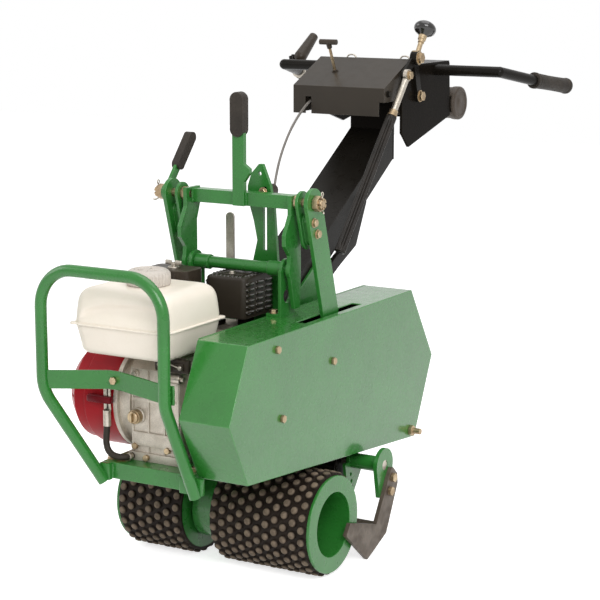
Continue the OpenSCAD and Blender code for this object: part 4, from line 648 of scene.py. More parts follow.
def makeHoseClips():
    inner, outer, ease = hoseClip["inner"], hoseClip["outer"], hoseClip["ease"]
    bands = []
    for i, length in zip((0, len(hoseLine) - 1), hoseClip["lengths"]):
        ahead = headingAt(hoseLine, i)
        base = hoseLine[i] if i == 0 else hoseLine[i] - ahead * hoseClip["back"]
        profile = [(0, inner), (ease, outer), (length - ease, outer), (length, inner)]
        bands.append(turnedAlong(base, ahead, profile, 28))
    addParts("hoseClips", bands, "steel", "chassis")


makeHoseClips()

# hand grips: a flange, ridged body and a rounded end
handGrip = {
    "start": (280, 713, 871), "run": (20, 135, -20), "length": 137.0, "radius": 17.0, "begin": 2.0, "ridges": 40,
}


def makeHandGrips():
    (x, y, z), (dx, dy, dz) = handGrip["start"], handGrip["run"]
    length, r = (handGrip["length"] - handGrip["begin"]) / 1000, handGrip["radius"] / 1000
    profile = [(0, 0.0112), (0, r - 0.0012), (0.0010, r), (0.0060, r), (0.0075, r - 0.0012), (0.0085, r - 0.0022)]
    for i in range(handGrip["ridges"] + 1):
        t = i / handGrip["ridges"]
        ridge = 0.0006 if i % 2 else 0.0
        profile.append((0.0095 + t * (length - 0.0205), r - 0.0016 + ridge - 0.0008 * math.sin(math.pi * t)))
    profile += [(length - 0.0095, r - 0.0004), (length - 0.0070, r), (length - 0.0030, r - 0.0004),
                (length - 0.0012, r - 0.0018), (length - 0.0003, r - 0.0046), (length, r - 0.008),
                (length - 0.0004, 0.006), (length - 0.0008, 0.002)]
    parts = []
    for way in (1, -1):
        along = Vector((way * dx, dy, dz)).normalized()
        start = spot(way * x, y, z) + along * handGrip["begin"] / 1000
        parts.append(turnedAlong(start, along, profile, 56))
    addParts("ridgedHandGrips", parts, "black_rubber", "chassis", ("hand_grips",), 38.0)


makeHandGrips()

# clutch rod sleeve: rubber tube with lengthwise ridges and a plated ferrule
rodSleeve = {
    "top": (120.6, 455, 891), "run": (-36, -208, -331), "from": 0.238, "radius": 11.0, "bore": 6.3,
    "ridges": 11, "groove": 0.0021, "rings": 60, "ferruleUp": 0.014,
    "ferrule": [(0, 0.0072), (0.0006, 0.0088), (0.009, 0.0092), (0.0130, 0.0104), (0.0138, 0.0072)],
}


def makeRodSleeve():
    top, run = spot(*rodSleeve["top"]), Vector(rodSleeve["run"]) / 1000
    start = top + run * rodSleeve["from"]
    length = run.length * (1 - rodSleeve["from"])
    sides = rodSleeve["ridges"] * 6

    def ridges(k, distance, radius):
        if radius < 0.0095:
            return 0.0
        fade = smoothStep(0.004, 0.012, distance) * (1 - smoothStep(length - 0.012, length - 0.004, distance))
        return -rodSleeve["groove"] * fade * (0.5 - 0.5 * math.cos(2 * math.pi * k / 6)) ** 2

    r, bore, rings = rodSleeve["radius"] / 1000, rodSleeve["bore"] / 1000, rodSleeve["rings"]
    profile = [(0, bore), (0, r - 0.001), (0.001, r)]
    profile += [(0.003 + (length - 0.006) * i / rings, r) for i in range(rings + 1)]
    profile += [(length - 0.001, r), (length, r - 0.001), (length, bore)]
    sleeve = turnedAlong(start, run, profile, sides, ridges)
    addParts("ridgedRodSleeve", [sleeve], "black_rubber", "rod", ("rod_sleeve",), 50.0, "sleeve_rubber")
    ferrule = turnedAlong(start - run.normalized() * rodSleeve["ferruleUp"], run, rodSleeve["ferrule"], 32)
    addParts("sleeveFerrule", [ferrule], "yellow_zinc", "rod")


makeRodSleeve()
print("cords, grips and sleeve made")


# small fittings: hex heads, washers, eased blocks and weld beads
def hexHead(place, direction, across, height):
    reach = across / 2000 / math.cos(math.pi / 6)
    h = height / 1000
    return turnedAlong(place, direction, [(0, reach), (h * 0.82, reach), (h, reach * 0.86)], 6)


def disc(place, direction, radius, thickness, ease=0.3, sides=32):
    r, t, e = radius / 1000, thickness / 1000, ease / 1000
    return turnedAlong(place, direction, [(0, r), (t - e, r), (t, r - e)], sides)


def boltHead(place, direction, across, height, collar=1.5):
    along = direction.normalized()
    return joined([disc(place, along, across * 0.68, collar),
                   hexHead(place + along * collar / 1000, along, across, height)])


def easedBlock(low, high, ease):  # a block with rounded corners and softened rims, standing along z
    half = ((high[0] - low[0]) / 2, (high[1] - low[1]) / 2)
    mid = ((high[0] + low[0]) / 2, (high[1] + low[1]) / 2)
    points, count = [], 0
    for z, inward in ((low[2], ease), (low[2] + ease * 0.3, ease * 0.3), (low[2] + ease, 0), (high[2] - ease, 0),
                      (high[2] - ease * 0.3, ease * 0.3), (high[2], ease)):
        loop = roundedLoop((half[0] - inward, half[1] - inward), max(ease * 1.6 - inward, 0.2), 4, 1)
        count = len(loop)
        points += [spot(mid[0] + px, mid[1] + py, z) for px, py in loop]
    return points, ringsToFaces(6, count)


def weldBead(line, radius, seed):  # stacked-coin bead: the radius swells and the middle wanders a little
    fine = []
    for a, b in zip(line, line[1:]):
        steps = max(2, int((b - a).length / 0.0011))
        fine += [a.lerp(b, k / steps) for k in range(steps)]
    fine.append(line[-1])
    points, lift = [], None
    for i, place in enumerate(fine):
        ahead = headingAt(fine, i)
        if lift is None:
            lift = frameAlong(ahead)[1]
        side = ahead.cross(lift).normalized()
        lift = side.cross(ahead).normalized()
        swell = 1.0 + 0.14 * math.sin(i * 2.1 + seed) + 0.07 * math.sin(i * 0.37 + seed * 2.3)
        drift = (side * math.sin(i * 0.23 + seed) + lift * math.cos(i * 0.19 + seed)) * radius * 0.10
        for k in range(8):
            angle = 2 * math.pi * k / 8
            points.append(place + drift + (side * math.cos(angle) + lift * math.sin(angle)) * radius * swell)
    return points, ringsToFaces(len(fine), 8)


def ringLine(place, axis, radius, turns=48):
    side, lift = frameAlong(axis)
    angles = [2 * math.pi * k / turns for k in range(turns + 1)]
    return [place + (side * math.cos(a) + lift * math.sin(a)) * radius / 1000 for a in angles]


# castle nuts and split pins on the lift bar's pivot bolts
castle = {"place": (24, 687), "right": 170.3, "left": -182.3, "outer": 11.0, "inner": 6.0, "height": 6.0, "pin": 1.6}


def makeCastleNuts():
    crowns, pins = [], []
    cy, cz = castle["place"]
    for x, way in ((castle["right"], 1), (castle["left"], -1)):
        for k in range(6):
            points = []
            for dx in (-0.5, castle["height"] - 0.8, castle["height"]):
                inner, outer = castle["inner"], castle["outer"] - (0.6 if dx == castle["height"] else 0.0)
                for radius, turn in ((inner, -19), (outer, -21), (outer, 0), (outer, 21), (inner, 19)):
                    angle = math.radians(60 * k + 30 + turn)
                    points.append(spot(x + way * dx, cy + radius * math.cos(angle), cz + radius * math.sin(angle)))
            crowns.append((points, ringsToFaces(3, 5)))
        crowns.append(disc(spot(x - way * 1, cy, cz), xAxis * way, 7.6, 7.0, 1.2, 28))
        pinX = x + way * 3.2
        leg = [spot(pinX, cy, cz + t) for t in (15, 8, 0, -8, -13)]
        leg += [spot(pinX + way * 3.5, cy - 3, cz - 15.5), spot(pinX + way * 7, cy - 7, cz - 15)]
        pins.append(tubeAlong(leg, castle["pin"] / 1000, 10))
        turns = [math.pi * k / 9 for k in range(1, 18)]
        eye = [spot(pinX, cy + 3.4 * math.sin(a), cz + 18 - 3.4 * math.cos(a)) for a in turns]
        pins.append(tubeAlong(eye, castle["pin"] / 1400, 10))
    addParts("castleCrowns", crowns, "yellow_zinc", bodyOf["pivot_bolts"], (), 30.0)
    addParts("splitPins", pins, "steel", bodyOf["pivot_bolts"])


makeCastleNuts()

# hex heads with washers: (body, slot, across, height, places as point and direction)
rimTurns = [math.radians(24 + 45 * k) for k in range(8)]  # eight bolts round the crankcase cover
hexSets = {
    "linkBolts": (bodyOf["lift_links"], "yellow_zinc", 13, 5.0,
                  [((s * 158, y, z), (s, 0, 0)) for s in (1, -1) for y, z in ((21, 652), (33, 630))]),
    "linkPinNuts": (bodyOf["blade_hangers"], "yellow_zinc", 19, 7.0,
                    [((s * 160, 194, 300), (s, 0, 0)) for s in (1, -1)]),
    "cheekBolts": ("chassis", "yellow_zinc", 15, 6.0,
                   [((s * 56, y, z), (s, 0, 0)) for s in (1, -1) for y, z in ((118, 470), (214, 530))]),
    "bracketBolts": ("chassis", "yellow_zinc", 13, 5.5,
                     [((s * x, y, 481), (0, 0, 1)) for s, x in ((1, 82), (-1, 107)) for y in (5, 38)]),
    "deckBolts": ("chassis", "yellow_zinc", 13, 6.0,
                  [((x, y, 230), (0, 0, 1)) for x, y in ((50, -215), (50, -40), (-124, -222), (-107, 10))]),
    "sideCoverBolts": ("chassis", "steel", 10, 5.0,
                       [((30, -124 + 61 * math.cos(a), 332 + 61 * math.sin(a)), (1, 0, 0)) for a in rimTurns]),
    "consoleBolts": ("chassis", "black_paint", 10, 4.0,
                     [((s * 104, 404, z), (s, 0, 0)) for s, z in ((1, 856), (-1, 828), (-1, 853))]),
    "clutchStudNut": ("chassis", "yellow_zinc", 18, 7.0, [((116.6, 520, 845), (1, 0, 0))]),
    "clutchBlockNut": (bodyOf["clutch_lever"], "yellow_zinc", 20, 7.0, [((124.3, 499, 923), (1, 0, 0))]),
    "clutchEyeNut": (bodyOf["clutch_lever"], "yellow_zinc", 14, 5.0, [((124.9, 455, 891), (1, 0, 0))]),
    "gearPinNut": ("chassis", "yellow_zinc", 13, 5.0, [((-85, 112.9, 500), (0, -1, 0))]),
    "latchNut": (bodyOf["latch_knob"], "yellow_zinc", 13, 4.0, [((21, 68, 694), (0, -1, 0))]),
    "guardBolts": ("chassis", "steel", 9, 3.5, [((-1, y, 549), (0, 0, 1)) for y in (-6, 43)]),
}
for name, (body, slot, across, height, places) in hexSets.items():
    heads = [boltHead(spot(*place), Vector(way), across, height) for place, way in places]
    addParts(name, heads, slot, body, (), 30.0)
print("nuts and bolt heads made:", len(hexSets), "sets")

# crankcase front: a cast band, edge ribs, stud bosses and a boss round the filler plug
caseFront = {
    "face": -205.0, "band": (-87, 11, 258, 284), "ribs": ((-90, -85), (-54, -51), (-20, -17), (9, 14)),
    "ribZ": (247, 398), "shelf": (-90, 14, 340, 347), "boss": (-75.1, 313, 15),
    "studs": ((-80, 391), (5, 391), (5, 300)), "plugFace": -221.5, "wing": (2.2, 8, -232, -226),
    "plug": [(0, 0.0100), (0.0010, 0.0110), (0.0040, 0.0110), (0.0052, 0.0098), (0.0052, 0.006), (0.0050, 0.002)],
}


def makeCaseFront():
    face = caseFront["face"]
    x0, x1, z0, z1 = caseFront["band"]
    parts = [easedBlock((x0, face - 4, z0), (x1, face + 3, z1), 1.6)]
    low, high = caseFront["ribZ"]
    parts += [easedBlock((left, face - 3, low), (right, face + 3, high), 1.2) for left, right in caseFront["ribs"]]
    x0, x1, z0, z1 = caseFront["shelf"]
    parts.append(easedBlock((x0, face - 2.5, z0), (x1, face + 3, z1), 1.1))
    bx, bz, br = caseFront["boss"]
    parts.append(disc(spot(bx, face + 1, bz), -yAxis, br, 7, 1.6, 40))
    parts += [disc(spot(sx, face + 1, sz), -yAxis, 7.5, 5, 1.0, 28) for sx, sz in caseFront["studs"]]
    addParts("crankcaseFront", parts, "cast_aluminium", "chassis")
    wx, wz, front, back = caseFront["wing"]
    plug = [turnedAlong(spot(bx, caseFront["plugFace"], bz), -yAxis, caseFront["plug"], 36),
            easedBlock((bx - wx, front, bz - wz), (bx + wx, back, bz + wz), 1.2)]
    addParts("fillerPlugHead", plug, "yellow_zinc", "chassis")
    studs = [boltHead(spot(sx, face - 4, sz), -yAxis, 9, 4.0, 1.0) for sx, sz in caseFront["studs"]]
    addParts("crankcaseStuds", studs, "steel", "chassis", (), 30.0)


makeCaseFront()

# level canister beside the belt cover and the slotted strip above the drain hose
caseFittings = {
    "canisterAt": (-10, -207, 391),
    "canister": [(0, 0.0065), (0.0006, 0.0072), (0.006, 0.0072), (0.0065, 0.0088), (0.028, 0.0088),
                 (0.0290, 0.0080), (0.0291, 0.0045), (0.036, 0.0045), (0.0363, 0.004)],
    "strip": ((-136, -228.6, 318), (-121, -225.4, 372), 1.2),
    "slot": ((-128.5, -229.2, 324), (-125.5, -227.5, 362), 0.4),
}


def makeCaseFittings():
    canister = turnedAlong(spot(*caseFittings["canisterAt"]), xAxis, caseFittings["canister"], 36)
    addParts("levelCanister", [canister], "steel", "chassis")
    addParts("hoseStrip", [easedBlock(*caseFittings["strip"])], "steel", "chassis")
    addParts("hoseStripSlot", [easedBlock(*caseFittings["slot"])], "black_plastic", "chassis")


makeCaseFittings()

# console: collar and neck on the throttle stem, two wire loops at the back edge
consoleTrim = {
    "lean": (0, -0.4242, 0.9056), "foot": (-39, 444.6, 894.5), "collar": 0.0012, "neckUp": 0.052,
    "neck": [(0, 0.0042), (0.0010, 0.0052), (0.0115, 0.0058), (0.0125, 0.0050)],
    "loopsX": (-33, 90), "loopFoot": (503, 908), "wire": 0.0016,
    "loop": [(-11, 0), (-11, 8), (-9, 14), (-4, 17), (4, 17), (9, 14), (11, 8), (11, 0)],
}


def makeConsoleTrim():
    lean, foot = Vector(consoleTrim["lean"]), spot(*consoleTrim["foot"])
    collar = [disc(foot, lean, 7, 1.2), hexHead(foot + lean * consoleTrim["collar"], lean, 10, 2.6)]
    addParts("throttleCollar", collar, "black_plastic", "chassis", (), 30.0)
    neck = turnedAlong(foot + lean * consoleTrim["neckUp"], lean, consoleTrim["neck"], 28)
    addParts("throttleNeck", [neck], "black_plastic", bodyOf["throttle_knob"])
    y, z = consoleTrim["loopFoot"]
    bend = smoothLine([(dx, 0, dz) for dx, dz in consoleTrim["loop"]], 4)
    loops = []
    for x in consoleTrim["loopsX"]:
        loops.append(tubeAlong([spot(x + p.x, y, z + p.z) for p in bend], consoleTrim["wire"], 10))
    addParts("consoleLoops", loops, "steel", "chassis")


makeConsoleTrim()

# clamp ring at the root of the left grip
clampRing = {
    "back": 0.012, "screwOn": 0.006, "screwOut": (0.006, 0, 0.0145), "screwWay": (0.3, 0, 1),
    "ring": [(0, 0.0112), (0.0004, 0.0142), (0.0016, 0.0152), (0.0100, 0.0152), (0.0112, 0.0142), (0.0116, 0.0112)],
}


def makeClampRing():
    (x, y, z), (dx, dy, dz) = handGrip["start"], handGrip["run"]
    along = Vector((-dx, dy, dz)).normalized()
    start = spot(-x, y, z) - along * clampRing["back"]
    ring = turnedAlong(start, along, clampRing["ring"], 40)
    head = start + along * clampRing["screwOn"] + Vector(clampRing["screwOut"])
    screw = boltHead(head, Vector(clampRing["screwWay"]), 7, 3.0, 0.8)
    addParts("gripClampRing", [ring, screw], "steel", "chassis", (), 35.0)


makeClampRing()

# end caps of the document tube, knurled round the rim: the rim's radii are over the tube's own
tubeCap = {
    "place": (711, 817), "end": 115.0, "depth": 16, "radius": 33.0, "knurl": 0.0004,
    "rim": [(0, -0.0005), (0.0006, 0.0012), (0.0050, 0.0016), (0.0140, 0.0016), (0.0160, 0.0008),
            (0.0172, -0.0014), (0.0174, -0.006), (0.0162, -0.0075)],
    "face": [(0.0160, 0.010), (0.0170, 0.008), (0.0170, 0.002)],
}


def makeTubeCaps():
    def knurl(k, distance, radius):
        return tubeCap["knurl"] * (k % 2) if radius > 0.034 else 0.0

    r = tubeCap["radius"] / 1000
    profile = [(distance, r + over) for distance, over in tubeCap["rim"]] + tubeCap["face"]
    caps = []
    for way in (1, -1):
        start = spot(way * (tubeCap["end"] - tubeCap["depth"]), *tubeCap["place"])
        caps.append(turnedAlong(start, xAxis * way, profile, 72, knurl))
    addParts("documentTubeCaps", caps, "black_plastic", "chassis", (), 35.0, "tube_shell")


makeTubeCaps()

# air cleaner: parting rim, upright ribs and a wing nut
airTrim = {
    "low": (-150, -82), "high": (-54, -19), "rim": (498, 504), "ribZ": (512, 552), "ribs": 5,
    "sideRib": (8, 11), "frontRib": (18, 13), "ribWide": 4, "nut": (-102, -50), "top": 558,
}


def makeAirTrim():
    (x0, y0), (x1, y1) = airTrim["low"], airTrim["high"]
    (rimLow, rimHigh), (ribLow, ribHigh) = airTrim["rim"], airTrim["ribZ"]
    wide = airTrim["ribWide"]
    parts = [easedBlock((x0 - 1.6, y0 - 1.6, rimLow), (x1 + 1.6, y1 + 1.6, rimHigh), 1.4)]
    first, step = airTrim["sideRib"]
    for y in (y0 + first + step * k for k in range(airTrim["ribs"])):
        parts.append(easedBlock((x0 - 1.2, y, ribLow), (x0 + 2, y + wide, ribHigh), 1.0))
    first, step = airTrim["frontRib"]
    for x in (x0 + first + step * k for k in range(airTrim["ribs"])):
        parts.append(easedBlock((x, y0 - 1.2, ribLow), (x + wide, y0 + 2, ribHigh), 1.0))
    addParts("airCleanerRim", parts, "black_plastic", "chassis")
    (nx, ny), top = airTrim["nut"], airTrim["top"]
    wing = [disc(spot(nx, ny, top), zAxis, 11, 2.4, 0.8), disc(spot(nx, ny, top + 2), zAxis, 5, 8, 1.0)]
    for middle in (nx + 11, nx - 11):
        wing.append(easedBlock((middle - 7, ny - 2, top + 5), (middle + 7, ny + 2, top + 14), 1.6))
    addParts("airCleanerWingNut", wing, "steel", "chassis")


makeAirTrim()


# weld beads where tube, plate and bar meet
def makeWelds():
    rocker = [weldBead(ringLine(spot(s * 109.2, 20, 562), xAxis, 11.6), 0.0026, s) for s in (1, -1)]
    rocker += [weldBead(ringLine(spot(s * x, 20, 562), xAxis, 11.9), 0.0020, s + x) for s in (1, -1) for x in (66,
        94)]
    rocker += [weldBead([spot(s * 109, y, 672) for y in (26.5, 50.5)], 0.0024, 3 + s) for s in (1, -1)]
    rocker += [weldBead([spot(s * 109, 26, z) for z in (672.5, 696.5)], 0.0024, 5 + s) for s in (1, -1)]
    rocker += [weldBead([spot(x, 26, z) for z in (673, 697)], 0.0022, x) for x in (-15, 10)]
    addParts("rockerWelds", rocker, "green_paint", bodyOf["rocker_frame"])
    fixed = [weldBead([spot(69.4, y, 230) for y in (-240, -60, 32)], 0.0026, 1.1)]
    fixed += [weldBead([spot(x, -243.5, z) for z in (202, 228)], 0.0026, x) for x in (-129, -107, 44, 69)]
    fixed += [weldBead([spot(-112.5, y, 230) for y in (-16, 32)], 0.0024, 2.4)]
    fixed += [weldBead([spot(s * 96, y, 481.5) for y in (-2, 45)], 0.0022, 7 + s) for s in (1, -1)]
    fixed += [weldBead([spot(s * 56.6, y, 406.4) for y in (97, 238)], 0.0024, 8 + s) for s in (1, -1)]
    fixed += [weldBead([spot(x, -295, z) for z in (369, 401)], 0.0024, x * 0.3) for x in (42, 63)]
    addParts("frameWelds", fixed, "green_paint", "chassis")
    blade = [weldBead(ringLine(spot(s * 207.4, 194, 164), xAxis, 15.4), 0.0024, 9 + s) for s in (1, -1)]
    addParts("hangerWelds", blade, "green_paint", bodyOf["blade_hangers"])


makeWelds()
print("fittings and welds made")


# drum treads: a rubber sleeve with rows of domed knobs, each row turned half a step
drumTread = {
    "around": 26, "pitch": 18.5, "sleeve": 91.2, "bore": 86.0, "rim": 6.0, "sides": 104,
    "knob": ((90.6, 8.3), (94.2, 7.7), (96.6, 6.5), (97.7, 4.6), (98.0, 2.2)),
}


def makeDrumTread():
    parts, axle, sides = [], Vector((0, axleY, axleZ)), drumTread["sides"]
    bore, sleeve, rim = (drumTread[key] / 1000 for key in ("bore", "sleeve", "rim"))
    for node, way in (("right_drum", 1), ("left_drum", -1)):
        low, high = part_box(node)
        inner, outer = (low.x, high.x - rim) if way > 0 else (high.x, low.x + rim)
        length = abs(outer - inner)
        start = axle + xAxis * inner
        points = turnedAlong(start, xAxis * way, [(0, bore), (0, sleeve), (length, sleeve), (length, bore)], sides)[0]
        faces = ringsToFaces(4, sides, False)
        faces += [(3 * sides + k, 3 * sides + (k + 1) % sides, (k + 1) % sides, k) for k in range(sides)]
        parts.append((points, faces))
        rows = int(length * 1000 / drumTread["pitch"])
        for row in range(rows):
            middle = start + xAxis * (way * (row + 0.5) * length / rows)
            for k in range(drumTread["around"]):
                angle = 2 * math.pi * (k + 0.5 * (row % 2)) / drumTread["around"]
                out = Vector((0, math.sin(angle), -math.cos(angle)))
                parts.append(turnedAlong(middle, out, inMetres(drumTread["knob"]), 14))
    addParts("knobbedTreads", parts, "tread_rubber", bodyOf["drum_treads"], ("drum_treads",), 48.0)


makeDrumTread()


# bumper hoop: one bent tube, its foot plates and the cross strap
bumper = {
    "tube": 11.0, "legs": (-212, 52), "feet": (-118, 79), "front": -306, "footY": -254.8, "footZ": 196,
    "bend": 366, "top": 587, "corner": 70, "ease": 90,
    "plates": ((-129, -107), (44, 92)), "plateY": -243.1, "plateZ": (199, 230),
    "strap": ((-203, -304.5), (-106, -250), (-82, -250), (41, -293.5), (63, -293.5)),
    "strapZ": (368, 402), "strapHalf": 2.5, "strapEase": 0.8,
}


def roundedRoute(corners, steps=12):  # straight runs joined by arcs: (point, radius) at each corner
    line = [corners[0][0]]
    for (before, _), (corner, radius), (after, _) in zip(corners, corners[1:], corners[2:]):
        inward, onward = (corner - before).normalized(), (after - corner).normalized()
        turn = inward.angle(onward)
        middle = corner + (onward - inward).normalized() * radius / math.cos(turn / 2)
        first = (corner - inward * radius * math.tan(turn / 2) - middle).normalized()
        last = (corner + onward * radius * math.tan(turn / 2) - middle).normalized()
        line += [middle + first.slerp(last, k / steps) * radius for k in range(steps + 1)]
    return line + [corners[-1][0]]


def makeBumperHoop():
    (left, right), (leftFoot, rightFoot) = bumper["legs"], bumper["feet"]
    ease, corner = bumper["ease"] / 1000, bumper["corner"] / 1000
    front, bend, top, footY, footZ = (bumper[key] for key in ("front", "bend", "top", "footY", "footZ"))
    places = [((leftFoot, footY, footZ), 0), ((left, front, bend), ease), ((left, front, top), corner),
              ((right, front, top), corner), ((right, front, bend), ease), ((rightFoot, footY, footZ), 0)]
    route = roundedRoute([(spot(*place), radius) for place, radius in places])
    parts = [tubeAlong(route, bumper["tube"] / 1000, 28)]
    low, high = bumper["plateZ"]
    parts += [easedBlock((x0, footY, low), (x1, bumper["plateY"], high), 1.6) for x0, x1 in bumper["plates"]]
    low, high = bumper["strapZ"]
    half, rim = bumper["strapHalf"], bumper["strapEase"]
    points = []
    for z, reach in ((low, half - rim), (low + rim, half), (high - rim, half), (high, half - rim)):
        points += [spot(x, y - reach, z) for x, y in bumper["strap"]]
        points += [spot(x, y + reach, z) for x, y in reversed(bumper["strap"])]
    parts.append((points, ringsToFaces(4, 2 * len(bumper["strap"]))))
    addParts("bentBumperHoop", parts, "green_paint", "chassis", ("bumper_hoop",), 35.0)


makeBumperHoop()


# muffler and its pressed guard: rounded box, rows of hooded louvres with black slits under them as painted shade for
# their openings, a raised lid
guard = {
    "low": (-45, -32, 470), "high": (43, 69, 547), "corner": 11,
    "rows": (482, 492.5, 503, 513.5, 524, 534.5), "columns": (-14, 18.5, 51), "hood": 14.0, "hoodRadius": 3.6,
    "topHood": 6.0, "topAcross": (8, 14, 8.6, 2.6), "topAlong": (6, 23, 11, 2.8), "topIn": 9,
    "stubAt": (-1, 40, 444), "stub": [(0, 0.015), (0.002, 0.016), (0.034, 0.016)],
}


def hood(place, along, half, radius):
    profile = [(0, radius * 0.15), (half * 0.10, radius * 0.62), (half * 0.28, radius * 0.93), (half, radius),
               (half * 1.72, radius * 0.93), (half * 1.90, radius * 0.62), (half * 2, radius * 0.15)]
    return turnedAlong(place - along * half / 1000, along, inMetres(profile), 14)


def makeMufflerGuard():
    (x0, y0, z0), (x1, y1, z1) = guard["low"], guard["high"]
    mid, half = ((x0 + x1) / 2, (y0 + y1) / 2), ((x1 - x0) / 2, (y1 - y0) / 2)
    rings = ((z0, 1.6), (z0 + 1, 0.4), (z0 + 2.5, 0), (z1 - 6, 0), (z1 - 3, 0.8), (z1 - 1.2, 2.2),
             (z1 - 0.2, 4.4), (z1, 7))
    points, count = [], 0
    for z, inward in rings:
        loop = roundedLoop((half[0] - inward, half[1] - inward), guard["corner"], 6, 4)
        count = len(loop)
        points += [spot(mid[0] + px, mid[1] + py, z) for px, py in loop]
    lid = easedBlock((x0 + 17, y0 + 20, z1 - 1), (x1 - 17, y1 - 18, z1 + 2), 1.0)
    box = [(points, ringsToFaces(len(rings), count)), lid]
    addParts("pressedMufflerGuard", box, "black_paint", "chassis", ("muffler_guard",), 35.0, "guard_sheet")
    hoods, shadeSlits = [], []
    for z in guard["rows"]:
        for y in guard["columns"]:
            for x, way in ((x1, 1), (x0, -1)):
                hoods.append(hood(spot(x - way * 0.6, y, z), yAxis, guard["hood"], guard["hoodRadius"]))
                # a black slit under each hood: painted shade for its opening
                shadeSlits.append(easedBlock((x - 0.7, y - 12, z - 5.4), (x + 0.7, y + 12, z - 3.0), 0.3))
    half, inward, top = guard["topHood"], guard["topIn"], z1 - 0.6
    count, first, step, radius = guard["topAcross"]
    for x in (x0 + first + step * k for k in range(count)):
        hoods += [hood(spot(x, y, top), yAxis, half, radius) for y in (y0 + inward, y1 - inward)]
    count, first, step, radius = guard["topAlong"]
    for y in (y0 + first + step * k for k in range(count)):
        hoods += [hood(spot(x, y, top), xAxis, half, radius) for x in (x0 + inward, x1 - inward)]
    addParts("guardLouvres", hoods, "black_paint", "chassis", (), 60.0, "louvre_gloss")
    addParts("louvreShadeSlits", shadeSlits, "black_paint", "chassis")
    can = easedBlock((x0 + 8, y0 + 8, z0 + 6), (x1 - 8, y1 - 8, z1 - 8), 6)
    stub = turnedAlong(spot(*guard["stubAt"]), zAxis, guard["stub"], 32)
    addParts("mufflerCan", [can, stub], slotOf["muffler"], "chassis", ("muffler",))


makeMufflerGuard()


# clutch knob: a glossy mushroom on a plated ferrule
clutchKnob = {
    "lean": (0, 38, 56), "ferruleDown": 0.033,
    "profile": ((-17, 7), (-16.2, 8.6), (-13.5, 10.6), (-9.5, 17.2), (-5, 21.6), (0, 23), (4.5, 22.2), (8.5, 19.4),
                (12, 14.6), (14, 9), (14.8, 3)),
    "ferrule": [(0, 0.0052), (0.0008, 0.0064), (0.007, 0.0068), (0.0078, 0.0082), (0.0165, 0.0088), (0.0172, 0.0070)],
}


def makeClutchKnob():
    low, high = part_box("clutch_knob")
    middle, lean = (low + high) / 2, Vector(clutchKnob["lean"]).normalized()
    knob = turnedAlong(middle, lean, inMetres(clutchKnob["profile"]), 56)
    body = bodyOf["clutch_knob"]
    addParts("mushroomClutchKnob", [knob], slotOf["clutch_knob"], body, ("clutch_knob",), 60.0, "knob_gloss")
    ferrule = turnedAlong(middle - lean * clutchKnob["ferruleDown"], lean, clutchKnob["ferrule"], 32)
    addParts("knobFerrule", [ferrule], "yellow_zinc", body)


makeClutchKnob()


# engine controls: governor plate with its link under the tank, and the stop switch on the fan cover
controls = {
    "plate": ((-34, -213, 403), (40, -204, 428), 2.0), "arm": ((8, -217, 408), (30, -211, 422), 1.6),
    "pivot": (-20, -212, 416), "link": ((-20, -219, 416), (4, -220, 420), (24, -218.5, 414)), "wire": 0.0014,
    "ends": (((-20, -217, 416), 3), ((24, -216, 414), 4)), "switch": ((-170, -236, 334), (-117, -222, 347), 2.5),
}


def makeEngineControls():
    plate = [easedBlock(*controls["plate"]), easedBlock(*controls["arm"])]
    plate.append(disc(spot(*controls["pivot"]), -yAxis, 8, 6, 1.2))
    addParts("governorPlate", plate, "black_plastic", "chassis")
    link = [tubeAlong([spot(*place) for place in controls["link"]], controls["wire"], 10)]
    link += [disc(spot(*place), -yAxis, 4, length, 0.6) for place, length in controls["ends"]]
    addParts("governorLink", link, "steel", "chassis")
    addParts("stopSwitch", [easedBlock(*controls["switch"])], "red_paint", "chassis", finish="switch_red")


makeEngineControls()
print("treads, hoop, guard, knob and controls made")


# floor, backdrop colour and soft studio light
studio = {
    "floor": 7.0, "floorZ": -0.0004, "floorTone": 0.86, "floorGlow": 0.72, "ambient": 0.50,
    "lamps": {  # place, aim, size, power
        "keySoftbox": ((2.3, -2.7, 2.5), (0, 0, 0.45), (2.4, 1.8), 92.0),
        "sideSoftbox": ((-3.0, -1.6, 2.2), (0, 0, 0.45), (1.8, 1.8), 26.0),
        "topSoftbox": ((0.3, 0.3, 3.4), (0, 0, 0.3), (2.6, 2.6), 40.0),
    },
}


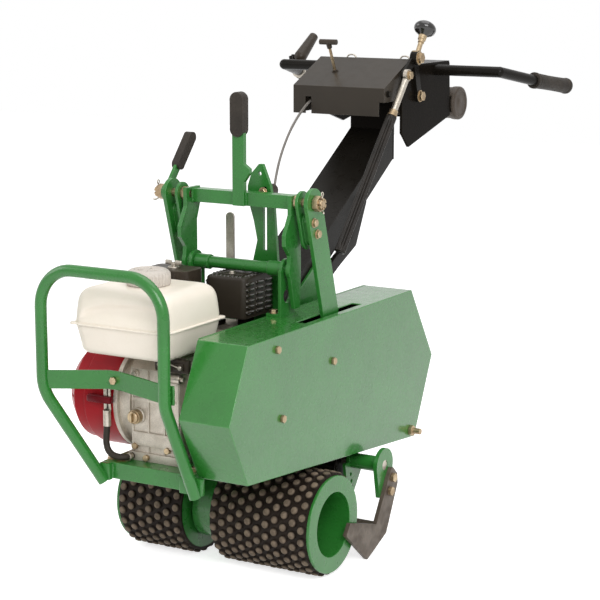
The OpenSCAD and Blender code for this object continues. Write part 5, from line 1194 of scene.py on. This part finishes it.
def seenRays(tree):  # rays that show the backdrop: camera, gloss and glass
    path = addNode(tree, "LightPath")
    direct = maths(tree, "MAXIMUM", path.outputs["Is Camera Ray"], path.outputs["Is Glossy Ray"])
    return maths(tree, "MAXIMUM", direct, path.outputs["Is Transmission Ray"])


def makeFloor():
    size, z = studio["floor"], studio["floorZ"]
    corners = [(-size, -size, z), (size, -size, z), (size, size, z), (-size, size, z)]
    mesh = meshFrom("studioFloor", corners, [(0, 1, 2, 3)])
    floor = bpy.data.objects.new("studioFloor", mesh)
    scene.collection.objects.link(floor)
    material, tree, out = freshMaterial("paleFloor")
    matt = addNode(tree, "BsdfDiffuse", {"Color": (studio["floorTone"],) * 3 + (1,)})
    glow = addNode(tree, "Emission", {"Color": (1, 1, 1, 1)})
    seen = seenRays(tree)
    both = addNode(tree, "AddShader")
    wire(tree, (maths(tree, "MULTIPLY", seen, studio["floorGlow"]), glow.inputs["Strength"]),
         (matt.outputs[0], both.inputs[0]),
         (glow.outputs[0], both.inputs[1]), (both.outputs[0], out.inputs["Surface"]))
    mesh.materials.append(material)


def makeWorld():
    world = bpy.data.worlds.new("studioWorld")
    scene.world = world
    world.use_nodes = True
    tree = world.node_tree
    tree.nodes.clear()
    out = addNode(tree, "OutputWorld")
    back = addNode(tree, "Background", {"Color": (1, 1, 1, 1)})
    seen = seenRays(tree)
    level = addNode(tree, "MapRange", {"To Min": studio["ambient"], "To Max": 1.0})
    wire(tree, (seen, level.inputs["Value"]), (level.outputs["Result"], back.inputs["Strength"]),
         (back.outputs[0], out.inputs["Surface"]))


def makeLamp(name, place, aim, size, power):
    data = bpy.data.lights.new(name, "AREA")
    data.shape = "RECTANGLE"
    data.size, data.size_y = size
    data.energy = power
    lamp = bpy.data.objects.new(name, data)
    scene.collection.objects.link(lamp)
    lamp.location = place
    lamp.rotation_euler = (Vector(aim) - Vector(place)).to_track_quat("-Z", "Y").to_euler()


makeFloor()
makeWorld()
for name, lamp in studio["lamps"].items():
    makeLamp(name, *lamp)
print("studio lit")
